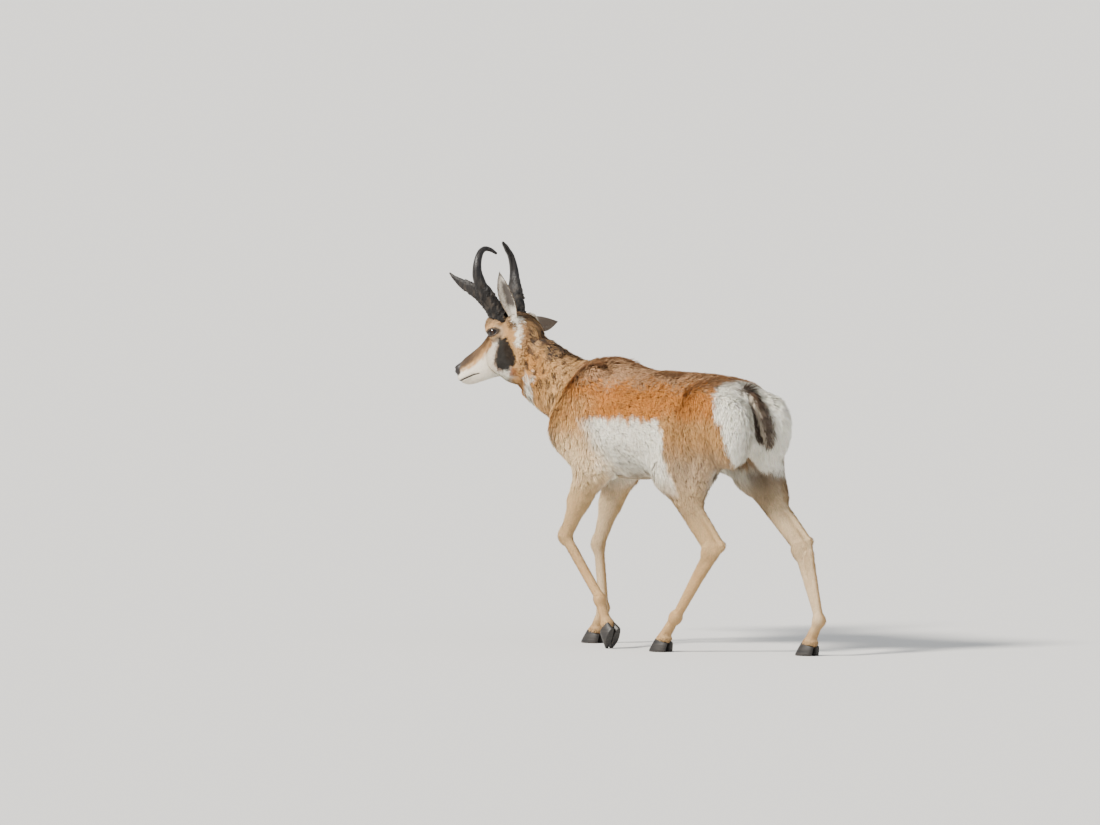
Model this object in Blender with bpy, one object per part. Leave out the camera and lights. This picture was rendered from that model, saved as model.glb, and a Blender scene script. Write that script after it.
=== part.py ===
"""A life-size adult pronghorn buck in a slow walk, as closed solids in metres.

The animal faces -Y, its left side is +X, and the floor is Z = 0. A point of
the body is written as (f, l, z): forward, to its left, and up, in metres.
The body is one smooth form out to the tips of its coat. It is parted with
thin cuts into head, neck, trunk and legs, and the horns, ears, eyes, tail and
hooves are pieces of their own.
"""

import bmesh
import bpy
import numpy as np
from mathutils import Matrix, Vector

# ---------------------------------------------------------------- sizes
GAP = 0.0004            # width of every parting cut
VOXEL = 0.0095          # grain of the first body mesh
TRIANGLES = {"trunk": 1450, "head": 1400, "legs": 1250}   # before the body is parted
ORIGIN_F = 0.069        # the model's origin, measured forward in the body's frame
ORIGIN_L = -0.0175

# joints of the left and right legs, (f, l, z)
SHOULDER = {1: (0.270, 0.088, 0.665), -1: (0.290, -0.088, 0.665)}
ELBOW = {1: (0.160, 0.096, 0.545), -1: (0.226, -0.094, 0.535)}
KNEE = {1: (0.276, 0.092, 0.334), -1: (0.315, -0.085, 0.300)}
FORE_FETLOCK = {1: (0.129, 0.088, 0.147), -1: (0.288, -0.080, 0.108)}
FORE_CORONET = {1: (0.100, 0.088, 0.073), -1: (0.318, -0.080, 0.048)}
HIP = {1: (-0.318, 0.078, 0.735), -1: (-0.330, -0.078, 0.735)}
STIFLE = {1: (-0.205, 0.112, 0.552), -1: (-0.330, -0.112, 0.548)}
HAM = {1: (-0.298, 0.098, 0.500), -1: (-0.448, -0.098, 0.490)}
HOCK = {1: (-0.352, 0.092, 0.314), -1: (-0.552, -0.092, 0.320)}
HEEL = {1: (-0.404, 0.091, 0.334), -1: (-0.596, -0.091, 0.348)}
HIND_FETLOCK = {1: (-0.201, 0.088, 0.108), -1: (-0.643, -0.088, 0.108)}
HIND_CORONET = {1: (-0.152, 0.088, 0.048), -1: (-0.606, -0.088, 0.048)}

# the head: where its middle sits, how far it turns left and nods down
HEAD_AT = (0.620, 0.010, 0.946)
HEAD_YAW = 10.0
HEAD_PITCH = 25.0
EYE_AT = (0.004, 0.0555, -0.002)   # along, out, up in the head's own frame
EYE_RADIUS = 0.0205

HOOF_HEIGHT = 0.040
HOOF_LENGTH = 0.074
EAR_LENGTH = 0.158
EAR_WIDTH = 0.058


# ---------------------------------------------------------------- frames
def place(f, l, z):
    """A point (f, l, z) of the body in the model's axes."""
    return np.array([l - ORIGIN_L, -(f - ORIGIN_F), z])


def turn(axis, degrees):
    return np.array(Matrix.Rotation(np.radians(degrees), 3, axis))


# Columns of HEAD are the head's own axes: out to its left, along the muzzle, up.
_along = np.array([0.0, -1.0, 0.0])
_out = np.array([1.0, 0.0, 0.0])
_up = np.array([0.0, 0.0, 1.0])
_nod = turn("X", HEAD_PITCH)
_yaw = turn("Z", HEAD_YAW)
HEAD = np.stack([_yaw @ _nod @ v for v in (_out, _along, _up)], axis=1)
LEVEL = np.stack([_yaw @ v for v in (_out, _along, _up)], axis=1)
HEAD_ORIGIN = place(*HEAD_AT)


def in_head(p):
    """World points as (out, along, up) of the head's own frame."""
    return (p - HEAD_ORIGIN) @ HEAD


def from_head(along, out, up):
    return HEAD_ORIGIN + HEAD @ np.array([out, along, up])


def from_level(along, out, up):
    """A point measured from the middle of the head, turned but not nodding."""
    return HEAD_ORIGIN + LEVEL @ np.array([out, along, up])


# ---------------------------------------------------------------- smooth forms
def curve(*knots):
    """A smooth curve through (x, y) knots, read by interpolation."""
    x = np.array([k[0] for k in knots], float)
    y = np.array([k[1] for k in knots], float)
    order = np.argsort(x)
    x, y = x[order], y[order]
    h = np.diff(x)
    slope = np.diff(y) / h
    m = np.zeros(len(x))
    m[0], m[-1] = slope[0], slope[-1]
    for i in range(1, len(x) - 1):
        m[i] = (slope[i - 1] * h[i] + slope[i] * h[i - 1]) / (h[i - 1] + h[i])
    t = np.linspace(x[0], x[-1], 600)
    i = np.clip(np.searchsorted(x, t, side="right") - 1, 0, len(x) - 2)
    s = (t - x[i]) / h[i]
    v = (
        y[i] * (1 + 2 * s) * (1 - s) ** 2
        + m[i] * h[i] * s * (1 - s) ** 2
        + y[i + 1] * s**2 * (3 - 2 * s)
        + m[i + 1] * h[i] * s**2 * (s - 1)
    )
    return lambda at: np.interp(at, t, v)


def smooth_rows(rows, count):
    """Rows of numbers read along a smooth curve through them."""
    rows = np.array(rows, float)
    length = np.concatenate([[0], np.cumsum(np.linalg.norm(np.diff(rows[:, :3], axis=0), axis=1))])
    t = np.linspace(0, length[-1], count)
    return np.stack([curve(*zip(length, rows[:, i]))(t) for i in range(rows.shape[1])], axis=1)


def blend(a, b, k):
    """The union of two forms with a fillet about k wide."""
    h = np.maximum(k - np.abs(a - b), 0.0) / k
    return np.minimum(a, b) - h * h * k * 0.25


def carve(a, b, k):
    """Form a with form b taken out of it, the edge rounded."""
    return -blend(-a, b, k)


def rod(p, a, b, ra, rb, flat=1.0, side=_out):
    """A tapered round-ended rod, its section flattened along side."""
    a, b = np.asarray(a, float), np.asarray(b, float)
    ab = b - a
    t = np.clip((p - a) @ ab / (ab @ ab), 0.0, 1.0)
    q = p - a - t[:, None] * ab
    if flat != 1.0:
        q = q + np.outer(q @ side, side) * (1.0 / flat - 1.0)
    return (np.sqrt((q * q).sum(1)) - (ra + (rb - ra) * t)) * min(1.0, flat)


def egg(p, at, radii, axes=None):
    """An ellipsoid with its radii along the columns of axes."""
    q = p - np.asarray(at, float)
    if axes is not None:
        q = q @ axes
    r = np.asarray(radii, float)
    k0 = np.sqrt(((q / r) ** 2).sum(1)) + 1e-9
    k1 = np.sqrt(((q / r**2) ** 2).sum(1)) + 1e-9
    return k0 * (k0 - 1.0) / k1


def loft(along, out, up, top, bottom, half, power, reach):
    """A body of rounded sections: top, bottom and half width vary along it."""
    a0, a1 = reach
    s = np.clip(along, a0, a1)
    zt, zb, w = top(s), bottom(s), half(s)
    h = np.maximum((zt - zb) * 0.5, 0.004)
    w = np.maximum(w, 0.004)
    n = power
    r = (np.abs(out / w) ** n + np.abs((up - (zt + zb) * 0.5) / h) ** n) ** (1.0 / n)
    d = (r - 1.0) * np.minimum(w, h)
    past = along - s
    return np.where(past == 0.0, d, np.sqrt(np.maximum(d, 0.0) ** 2 + past**2))


TOP = curve(
    (-0.468, 0.665), (-0.460, 0.735), (-0.445, 0.775), (-0.420, 0.805), (-0.385, 0.826),
    (-0.340, 0.841), (-0.280, 0.848), (-0.180, 0.852), (-0.080, 0.854), (0.000, 0.856),
    (0.055, 0.868), (0.105, 0.881), (0.165, 0.887), (0.220, 0.872), (0.270, 0.838),
    (0.315, 0.800), (0.352, 0.750), (0.368, 0.690),
)
BOTTOM = curve(
    (-0.468, 0.665), (-0.458, 0.635), (-0.420, 0.610), (-0.360, 0.594), (-0.280, 0.575),
    (-0.200, 0.548), (-0.120, 0.528), (-0.030, 0.515), (0.060, 0.508), (0.150, 0.512),
    (0.220, 0.527), (0.280, 0.553), (0.322, 0.585), (0.353, 0.625), (0.368, 0.690),
)
HALF = curve(
    (-0.468, 0.004), (-0.458, 0.055), (-0.435, 0.092), (-0.395, 0.118), (-0.320, 0.130),
    (-0.220, 0.136), (-0.100, 0.143), (0.000, 0.142), (0.100, 0.132), (0.180, 0.120),
    (0.250, 0.108), (0.310, 0.088), (0.350, 0.055), (0.368, 0.006),
)


def trunk_form(p):
    f = ORIGIN_F - p[:, 1]
    l = p[:, 0] + ORIGIN_L
    z = p[:, 2]
    # The ribs are widest below the middle, and the spine stands as a low ridge.
    tilt = 1.0 - 0.26 * np.clip((z - 0.70) / 0.18, -0.35, 1.0)
    d = loft(f, l / tilt, z, TOP, BOTTOM, HALF, 2.15, (-0.4675, 0.3675))
    for s in (1, -1):
        # shoulder blade and upper arm
        blade = turn("X", -24)
        d = blend(d, egg(p, place(0.205, s * 0.078, 0.742), (0.048, 0.080, 0.135), blade), 0.05)
        d = blend(d, rod(p, place(*SHOULDER[s]), place(*ELBOW[s]), 0.064, 0.052, 0.80), 0.05)
        # haunch: the front and the back of the thigh, and the rounded rump lobe
        hip, stifle = place(*HIP[s]), place(*STIFLE[s])
        d = blend(d, rod(p, hip, stifle, 0.088, 0.058, 0.72), 0.045)
        back = place(HIP[s][0] - 0.075, s * 0.072, 0.690)
        low = place(*HAM[s])
        d = blend(d, rod(p, back, low, 0.070, 0.040, 0.75), 0.04)
        d = blend(d, egg(p, place(-0.418, s * 0.076, 0.686), (0.074, 0.094, 0.116)), 0.03)
        # fold of the flank, and the back of the upper arm
        d = blend(d, rod(p, place(-0.105, s * 0.100, 0.610), stifle, 0.048, 0.048, 0.60), 0.05)
        arm = place(ELBOW[s][0] - 0.020, s * 0.088, ELBOW[s][2] + 0.020)
        d = blend(d, rod(p, place(0.120, s * 0.085, 0.680), arm, 0.060, 0.042, 0.70), 0.05)
    # breast between the shoulders
    d = blend(d, egg(p, place(0.288, 0.0, 0.640), (0.085, 0.075, 0.085)), 0.05)
    # The tail lies in a groove between the rump lobes.
    d = carve(d, rod(p, place(-0.500, 0, 0.770), place(-0.512, 0, 0.600), 0.024, 0.032), 0.03)
    return d


NECK_ROOT = (0.205, 0.722)   # f, z of the neck's own line inside the chest
NECK_RISE = np.radians(25.7)
NECK_TOP = curve(
    (0.000, 0.140), (0.094, 0.114), (0.184, 0.0985), (0.268, 0.094), (0.345, 0.0945),
    (0.405, 0.086), (0.440, 0.060),
)
NECK_BOTTOM = curve(
    (0.000, -0.130), (0.094, -0.132), (0.184, -0.136), (0.268, -0.134), (0.345, -0.119),
    (0.405, -0.098), (0.440, -0.070),
)
NECK_HALF = curve(
    (0.000, 0.098), (0.094, 0.090), (0.184, 0.079), (0.268, 0.070), (0.345, 0.064),
    (0.405, 0.060), (0.440, 0.040),
)


def neck_form(p):
    f = ORIGIN_F - p[:, 1] - NECK_ROOT[0]
    z = p[:, 2] - NECK_ROOT[1]
    along = f * np.cos(NECK_RISE) + z * np.sin(NECK_RISE)
    up = z * np.cos(NECK_RISE) - f * np.sin(NECK_RISE)
    out = p[:, 0] + ORIGIN_L - 0.008 * np.clip(along / 0.40, 0.0, 1.0) ** 2
    # The nape is narrower than the throat.
    tilt = 1.0 - 0.22 * np.clip(up / 0.10, -0.4, 1.0)
    return loft(along, out / tilt, up, NECK_TOP, NECK_BOTTOM, NECK_HALF, 2.05, (0.0, 0.440))


SKULL_TOP = curve(
    (-0.118, -0.045), (-0.105, -0.005), (-0.080, 0.027), (-0.045, 0.045), (-0.010, 0.047),
    (0.025, 0.037), (0.060, 0.018), (0.100, 0.001), (0.145, -0.008), (0.183, -0.015),
    (0.204, -0.024), (0.216, -0.038), (0.222, -0.057),
)
SKULL_BOTTOM = curve(
    (-0.118, -0.060), (-0.090, -0.105), (-0.050, -0.130), (-0.005, -0.140), (0.030, -0.139),
    (0.060, -0.129), (0.090, -0.117), (0.125, -0.110), (0.157, -0.105), (0.184, -0.100),
    (0.204, -0.092), (0.216, -0.079), (0.222, -0.061),
)
SKULL_HALF = curve(
    (-0.118, 0.010), (-0.100, 0.040), (-0.065, 0.053), (-0.020, 0.056), (0.020, 0.052),
    (0.055, 0.043), (0.095, 0.034), (0.135, 0.0285), (0.170, 0.0275), (0.196, 0.0265),
    (0.214, 0.019), (0.222, 0.006),
)


def head_form(p):
    q = in_head(p)
    out, along, up = q[:, 0], q[:, 1], q[:, 2]
    # The face narrows towards the bridge of the nose, and the jaw is narrower below.
    mid = (SKULL_TOP(along) + SKULL_BOTTOM(along)) * 0.5
    deep = np.maximum((SKULL_TOP(along) - SKULL_BOTTOM(along)) * 0.5, 0.01)
    v = np.clip((up - mid) / deep, -1, 1)
    slim = 1.0 - 0.16 * np.clip(v, 0, 1) ** 2 - 0.22 * np.clip(-v, 0, 1) ** 2
    d = loft(along, out / slim, up, SKULL_TOP, SKULL_BOTTOM, SKULL_HALF, 2.3, (-0.1175, 0.2215))
    for s in (1, -1):
        side = lambda a, o, u: from_head(a, s * o, u)
        # brow and socket rim
        d = blend(d, egg(p, side(0.000, 0.046, 0.002), (0.0285, 0.036, 0.032), HEAD), 0.022)
        # cheek
        d = blend(d, egg(p, side(0.022, 0.036, -0.078), (0.020, 0.055, 0.048), HEAD), 0.03)
        # pedicle under the horn
        d = blend(d, egg(p, side(-0.006, 0.048, 0.029), (0.023, 0.038, 0.025), HEAD), 0.02)
        # root of the ear
        d = blend(d, egg(p, side(-0.066, 0.044, 0.002), (0.020, 0.024, 0.026), HEAD), 0.02)
        # wing of the nostril, and the upper lip
        d = blend(d, egg(p, side(0.203, 0.017, -0.040), (0.012, 0.018, 0.015), HEAD), 0.012)
        d = blend(d, egg(p, side(0.184, 0.016, -0.068), (0.014, 0.034, 0.013), HEAD), 0.012)
    return d


def web_of(s):
    """The line down the middle of the skin between a shin bone and its heel tendon."""
    stifle, hock, heel = place(*STIFLE[s]), place(*HOCK[s]), place(*HEEL[s])
    down = (hock - stifle) / np.linalg.norm(hock - stifle)
    back = np.cross(_out, down)
    back *= np.sign(back[1])
    return stifle + down * 0.11 + back * 0.018, (hock + heel) / 2 - down * 0.004


def leg_form(p, s):
    """Both legs of one side, from inside the trunk down to the coronets."""
    at = lambda name: place(*name[s])
    knee, elbow = at(KNEE), at(ELBOW)
    fetlock, coronet = at(FORE_FETLOCK), at(FORE_CORONET)
    down = (knee - elbow) / np.linalg.norm(knee - elbow)
    d = rod(p, elbow, knee, 0.050, 0.0225, 0.80)
    # muscle of the forearm, and the point of the elbow
    d = blend(d, rod(p, elbow + (0, 0.012, 0.0), elbow + down * 0.11, 0.044, 0.030, 0.85), 0.03)
    d = blend(d, rod(p, elbow + (0, 0.050, 0.004), elbow + down * 0.06, 0.024, 0.026), 0.03)
    # knee, slightly square in front
    d = blend(d, egg(p, knee + (0, -0.002, 0.006), (0.0215, 0.0215, 0.030)), 0.012)
    shin = (fetlock - knee) / np.linalg.norm(fetlock - knee)
    back = np.cross(_out, shin)
    back *= np.sign(back[1])
    d = blend(d, rod(p, knee, fetlock, 0.0165, 0.0140), 0.016)
    d = blend(d, rod(p, knee + back * 0.008 + shin * 0.01, fetlock + back * 0.008, 0.0105, 0.0105), 0.008)
    d = blend(d, egg(p, fetlock, (0.0195, 0.0195, 0.0195)), 0.014)
    d = blend(d, rod(p, fetlock, coronet, 0.0160, 0.0185), 0.014)

    stifle, hock, heel = at(STIFLE), at(HOCK), at(HEEL)
    fetlock, coronet = at(HIND_FETLOCK), at(HIND_CORONET)
    down = (hock - stifle) / np.linalg.norm(hock - stifle)
    back = np.cross(_out, down)
    back *= np.sign(back[1])
    h = rod(p, stifle, hock, 0.056, 0.0190, 0.74)
    # calf behind the shin bone, and the tendon down to the heel bone
    h = blend(h, rod(p, stifle + back * 0.050, stifle + down * 0.13 + back * 0.030, 0.044, 0.026, 0.74), 0.03)
    h = blend(h, rod(p, stifle + down * 0.11 + back * 0.032, heel, 0.0150, 0.0110), 0.012)
    # thin skin between the shin bone and the tendon
    h = blend(h, rod(p, *web_of(s), 0.028, 0.026, 0.36), 0.012)
    h = blend(h, egg(p, hock, (0.0225, 0.0260, 0.0300)), 0.014)
    h = blend(h, rod(p, hock, heel, 0.0200, 0.0125, 0.85), 0.012)
    shin = (fetlock - hock) / np.linalg.norm(fetlock - hock)
    back = np.cross(_out, shin)
    back *= np.sign(back[1])
    h = blend(h, rod(p, hock, fetlock, 0.0180, 0.0135), 0.018)
    h = blend(h, rod(p, heel + shin * 0.035 - back * 0.008, fetlock + back * 0.007, 0.0115, 0.0100), 0.010)
    h = blend(h, egg(p, fetlock, (0.0200, 0.0205, 0.0205)), 0.014)
    h = blend(h, rod(p, fetlock, coronet, 0.0165, 0.0190), 0.014)
    return d, h


def body_form(p):
    """Below zero inside the animal out to the tips of its coat, horns and ears left off."""
    d = blend(trunk_form(p), neck_form(p), 0.055)
    d = blend(d, head_form(p), 0.030)
    for s in (1, -1):
        fore, hind = leg_form(p, s)
        d = blend(d, fore, 0.030)
        d = blend(d, hind, 0.030)
    return d


def slope_of(form, p, step=0.0012):
    g = np.empty_like(p)
    for i in range(3):
        e = np.zeros(3)
        e[i] = step
        g[:, i] = (form(p + e) - form(p - e)) / (2 * step)
    return g


def settle(form, p, rounds=4, most=0.006):
    """Moves points onto the form's surface."""
    for _ in range(rounds):
        g = slope_of(form, p)
        n2 = np.maximum((g * g).sum(1), 0.05)
        move = -(form(p) / n2)[:, None] * g
        length = np.sqrt((move * move).sum(1))[:, None]
        p = p + move * np.minimum(1.0, most / np.maximum(length, 1e-9))
    return p


# ---------------------------------------------------------------- mesh helpers
def clear_scene():
    for old in list(bpy.data.objects):
        bpy.data.objects.remove(old, do_unlink=True)


def show(mesh, name):
    obj = bpy.data.objects.new(name, mesh)
    bpy.context.scene.collection.objects.link(obj)
    return obj


def points_of(mesh):
    p = np.empty(len(mesh.vertices) * 3, np.float32)
    mesh.vertices.foreach_get("co", p)
    return p.reshape(-1, 3).astype(float)


def put_points(mesh, p):
    mesh.vertices.foreach_set("co", p.astype(np.float32).ravel())
    mesh.update()


def freeze(obj):
    """Applies the object's modifiers to its own mesh."""
    graph = bpy.context.evaluated_depsgraph_get()
    mesh = bpy.data.meshes.new_from_object(obj.evaluated_get(graph))
    obj.modifiers.clear()
    old = obj.data
    obj.data = mesh
    bpy.data.meshes.remove(old)
    return obj


def drop(obj):
    bpy.data.objects.remove(obj, do_unlink=True)


def tidy(obj):
    bm = bmesh.new()
    bm.from_mesh(obj.data)
    bmesh.ops.dissolve_degenerate(bm, dist=0.00004, edges=bm.edges)
    bmesh.ops.remove_doubles(bm, verts=bm.verts, dist=0.00003)
    bmesh.ops.triangulate(bm, faces=bm.faces)
    bmesh.ops.recalc_face_normals(bm, faces=bm.faces)
    bm.to_mesh(obj.data)
    bm.free()
    return obj


def add_ball(bm, at, radius):
    bmesh.ops.create_icosphere(
        bm, subdivisions=2, radius=radius, matrix=Matrix.Translation(Vector(at))
    )


def add_chain(bm, a, b, ra, rb):
    """Overlapping balls from a to b, the first rough shape of a limb."""
    a, b = np.asarray(a, float), np.asarray(b, float)
    steps = max(2, int(np.linalg.norm(b - a) / (0.35 * min(ra, rb))) + 1)
    for i in range(steps + 1):
        t = i / steps
        add_ball(bm, a + (b - a) * t, ra + (rb - ra) * t)


def rough_body():
    """Balls along the spine, neck, head and legs, joined into one closed skin."""
    bm = bmesh.new()
    for f in np.arange(-0.44, 0.345, 0.022):
        top, low, half = float(TOP(f)), float(BOTTOM(f)), float(HALF(f))
        r = max(0.02, half * 0.86)
        for t in np.linspace(0, 1, 5):
            add_ball(bm, place(f, 0, low + r + (top - low - 2 * r) * t), r)
    for along in np.arange(0.0, 0.425, 0.014):
        top, low, half = float(NECK_TOP(along)), float(NECK_BOTTOM(along)), float(NECK_HALF(along))
        r = half * 0.86
        for t in np.linspace(0, 1, 5):
            up = low + r + (top - low - 2 * r) * t
            f = NECK_ROOT[0] + along * np.cos(NECK_RISE) - up * np.sin(NECK_RISE)
            z = NECK_ROOT[1] + along * np.sin(NECK_RISE) + up * np.cos(NECK_RISE)
            add_ball(bm, place(f, 0.004, z), r)
    for along in np.arange(-0.09, 0.208, 0.010):
        top, low = float(SKULL_TOP(along)), float(SKULL_BOTTOM(along))
        r = float(SKULL_HALF(along)) * 0.88
        for t in np.linspace(0, 1, 5):
            add_ball(bm, from_head(along, 0, low + r + max(0, top - low - 2 * r) * t), r)
    for s in (1, -1):
        at = lambda name: place(*name[s])
        add_ball(bm, from_head(0.0, s * 0.046, 0.0), 0.028)
        add_ball(bm, from_head(-0.066, s * 0.044, 0.0), 0.018)
        add_chain(bm, at(SHOULDER), at(ELBOW), 0.055, 0.045)
        add_chain(bm, at(ELBOW), at(KNEE), 0.042, 0.020)
        add_chain(bm, at(KNEE), at(FORE_FETLOCK), 0.017, 0.016)
        add_chain(bm, at(FORE_FETLOCK), at(FORE_CORONET), 0.017, 0.018)
        add_ball(bm, place(-0.418, s * 0.076, 0.686), 0.072)
        add_chain(bm, at(HIP), at(STIFLE), 0.065, 0.048)
        add_chain(bm, at(STIFLE), at(HOCK), 0.042, 0.020)
        add_chain(bm, at(HOCK), at(HEEL), 0.019, 0.012)
        back, low = place(HIP[s][0] - 0.075, s * 0.072, 0.690), at(HAM)
        add_chain(bm, back, low, 0.060, 0.036)
        add_chain(bm, low, at(STIFLE), 0.034, 0.040)
        add_chain(bm, (back + low) / 2, (at(HIP) + at(STIFLE)) / 2, 0.045, 0.050)
        add_chain(bm, low, at(HEEL), 0.034, 0.012)
        add_chain(bm, *web_of(s), 0.024, 0.020)
        add_chain(bm, at(HOCK), at(HIND_FETLOCK), 0.018, 0.017)
        add_chain(bm, at(HIND_FETLOCK), at(HIND_CORONET), 0.017, 0.018)
    mesh = bpy.data.meshes.new("body")
    bm.to_mesh(mesh)
    bm.free()
    body = show(mesh, "body")
    remesh = body.modifiers.new("Skin", "REMESH")
    remesh.mode = "VOXEL"
    remesh.voxel_size = VOXEL
    return freeze(body)


def region_of(p):
    """0 for the trunk and neck, 1 for the head, 2 for the legs."""
    head = in_head(p)[:, 1] > -0.105
    return np.where(head, 1, np.where(p[:, 2] < 0.51, 2, 0))


def thin_out(body, region, target):
    """Fewer triangles in one region of the body, the others left as they are."""
    inside = region_of(points_of(body.data)) == region
    total = inner = 0
    for face in body.data.polygons:
        count = len(face.vertices) - 2
        total += count
        inner += count * all(inside[i] for i in face.vertices)
    body.vertex_groups.clear()
    group = body.vertex_groups.new(name="thin")
    group.add([int(i) for i in np.flatnonzero(inside)], 1.0, "REPLACE")
    thin = body.modifiers.new("Thin", "DECIMATE")
    thin.ratio = (total - inner + target) / total
    thin.vertex_group = "thin"
    freeze(body)
    body.vertex_groups.clear()


def make_body():
    body = rough_body()
    put_points(body.data, settle(body_form, points_of(body.data), 5, 0.012))
    smooth = body.modifiers.new("Even", "SMOOTH")
    smooth.factor = 0.5
    smooth.iterations = 2
    freeze(body)
    p = settle(body_form, points_of(body.data), 3)
    put_points(body.data, p)
    for region, name in enumerate(TRIANGLES):
        thin_out(body, region, TRIANGLES[name])
    smooth = body.modifiers.new("Even", "SMOOTH")
    smooth.factor = 0.4
    smooth.iterations = 1
    freeze(body)
    put_points(body.data, settle(body_form, points_of(body.data), 3))
    return tidy(body)


def slab(name, at, normal, across, tall):
    """A sheet GAP thick, used to part the body."""
    bm = bmesh.new()
    bmesh.ops.create_cube(bm, size=1.0)
    mesh = bpy.data.meshes.new(name)
    bm.to_mesh(mesh)
    bm.free()
    obj = show(mesh, name)
    n = Vector(normal).normalized()
    obj.matrix_world = (
        Matrix.Translation(Vector(at))
        @ n.to_track_quat("Y", "Z").to_matrix().to_4x4()
        @ Matrix.Diagonal((across, GAP, tall, 1.0))
    )
    obj.hide_render = True
    obj.display_type = "WIRE"
    return obj


def volume_of(mesh):
    """The mesh's volume, or nothing where it isn't closed."""
    bm = bmesh.new()
    bm.from_mesh(mesh)
    shut = len(bm.faces) > 3 and all(e.is_manifold for e in bm.edges)
    volume = bm.calc_volume(signed=True) if shut else None
    bm.free()
    return volume


def boolean(obj, other, operation, least=0.35, most=1.6):
    """Cuts or joins, keeping the first solver's result that is closed and of a likely size."""
    whole = volume_of(obj.data)
    before = obj.data.copy()
    for solver, own in (("EXACT", False), ("EXACT", True), ("MANIFOLD", False)):
        cut = obj.modifiers.new(other.name, "BOOLEAN")
        cut.operation = operation
        cut.object = other
        cut.solver = solver
        cut.use_self = own
        bpy.context.view_layer.update()
        freeze(obj)
        now = volume_of(obj.data)
        if now is not None and whole and least <= now / whole <= most:
            break
        print("another try:", obj.name, other.name, solver, own, whole, now)
        obj.data = before.copy()
    return obj


def swollen(obj, by):
    """A copy of a closed piece, moved outward by a little."""
    mesh = obj.data.copy()
    copy = show(mesh, obj.name + "_room")
    copy.matrix_world = obj.matrix_world
    n = np.array([v.normal[:] for v in mesh.vertices])
    put_points(mesh, points_of(mesh) + n * by)
    copy.hide_render = True
    copy.display_type = "WIRE"
    return copy


def make_material(name, colour, roughness, metallic=0.0):
    material = bpy.data.materials.new(name)
    material.use_nodes = True
    shader = material.node_tree.nodes["Principled BSDF"]
    shader.inputs["Base Color"].default_value = (*colour, 1.0)
    shader.inputs["Roughness"].default_value = roughness
    shader.inputs["Metallic"].default_value = metallic
    material.diffuse_color = (*colour, 1.0)
    return material


def finish(obj, name, material, smooth=True):
    obj.name = name
    obj.data.name = name
    obj.data.materials.clear()
    obj.data.materials.append(material)
    if smooth:
        obj.data.shade_smooth()
        obj.data.set_sharp_from_angle(angle=np.radians(50))
    return obj


# ---------------------------------------------------------------- horns
HORN_CORE = (
    # along, out, up from the middle of the head, fore-aft and sideways half sizes
    (-0.013, 0.050, 0.038, 0.0300, 0.0185),
    (-0.006, 0.055, 0.052, 0.0300, 0.0185),
    (0.006, 0.065, 0.078, 0.0305, 0.0180),
    (0.018, 0.077, 0.104, 0.0300, 0.0170),
    (0.027, 0.088, 0.130, 0.0215, 0.0155),
    (0.034, 0.0955, 0.156, 0.0160, 0.0140),
    (0.0385, 0.0985, 0.182, 0.0130, 0.0120),
    (0.0410, 0.0945, 0.206, 0.0108, 0.0102),
    (0.0425, 0.0850, 0.227, 0.0092, 0.0088),
    (0.0440, 0.0700, 0.2435, 0.0078, 0.0074),
)
HORN_TIP = {
    1: ((0.0410, 0.0540, 0.2510, 0.0062, 0.0060), (0.0300, 0.0390, 0.2470, 0.0046, 0.0044),
        (0.0185, 0.0290, 0.2370, 0.0022, 0.0022)),
    -1: ((0.0440, 0.0560, 0.2540, 0.0062, 0.0060), (0.0425, 0.0460, 0.2605, 0.0044, 0.0042),
         (0.0405, 0.0385, 0.2665, 0.0020, 0.0020)),
}
# the prong: where its spine runs from the beam to the tip, and how deep and thick it is
PRONG = {
    1: ((0.020, 0.080, 0.112, 0.026, 0.0135), (0.052, 0.082, 0.122, 0.023, 0.0105),
        (0.085, 0.081, 0.133, 0.0175, 0.0080), (0.118, 0.079, 0.147, 0.0115, 0.0058),
        (0.142, 0.077, 0.161, 0.0065, 0.0040), (0.158, 0.076, 0.174, 0.0022, 0.0020)),
    -1: ((0.018, 0.080, 0.106, 0.026, 0.0135), (0.046, 0.088, 0.112, 0.021, 0.0105),
         (0.070, 0.097, 0.119, 0.0150, 0.0078), (0.088, 0.105, 0.126, 0.0090, 0.0052),
         (0.100, 0.111, 0.133, 0.0026, 0.0022)),
}


HORN_SPREAD = {1: 1.0, -1: 0.93}   # the right horn stands a little closer in


def horn_path(s):
    k = HORN_SPREAD[s]
    core = tuple((a, o * k, u, deep * k, wide) for a, o, u, deep, wide in HORN_CORE)
    return core + HORN_TIP[s]


def tube(bm, centres, us, vs, ru, rv, sides, twist=0.0):
    """A closed tube through rings: centre, two directions and two half sizes each."""
    rings = []
    for c, u, v, a, b in zip(centres, us, vs, ru, rv):
        ring = []
        for k in range(sides):
            w = 2 * np.pi * k / sides + twist
            ring.append(bm.verts.new(c + u * a * np.cos(w) + v * b * np.sin(w)))
        rings.append(ring)
    for r0, r1 in zip(rings, rings[1:]):
        for k in range(sides):
            j = (k + 1) % sides
            bm.faces.new((r0[k], r0[j], r1[j], r1[k]))
    bm.faces.new(rings[0][::-1])
    bm.faces.new(rings[-1])
    return rings


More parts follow.
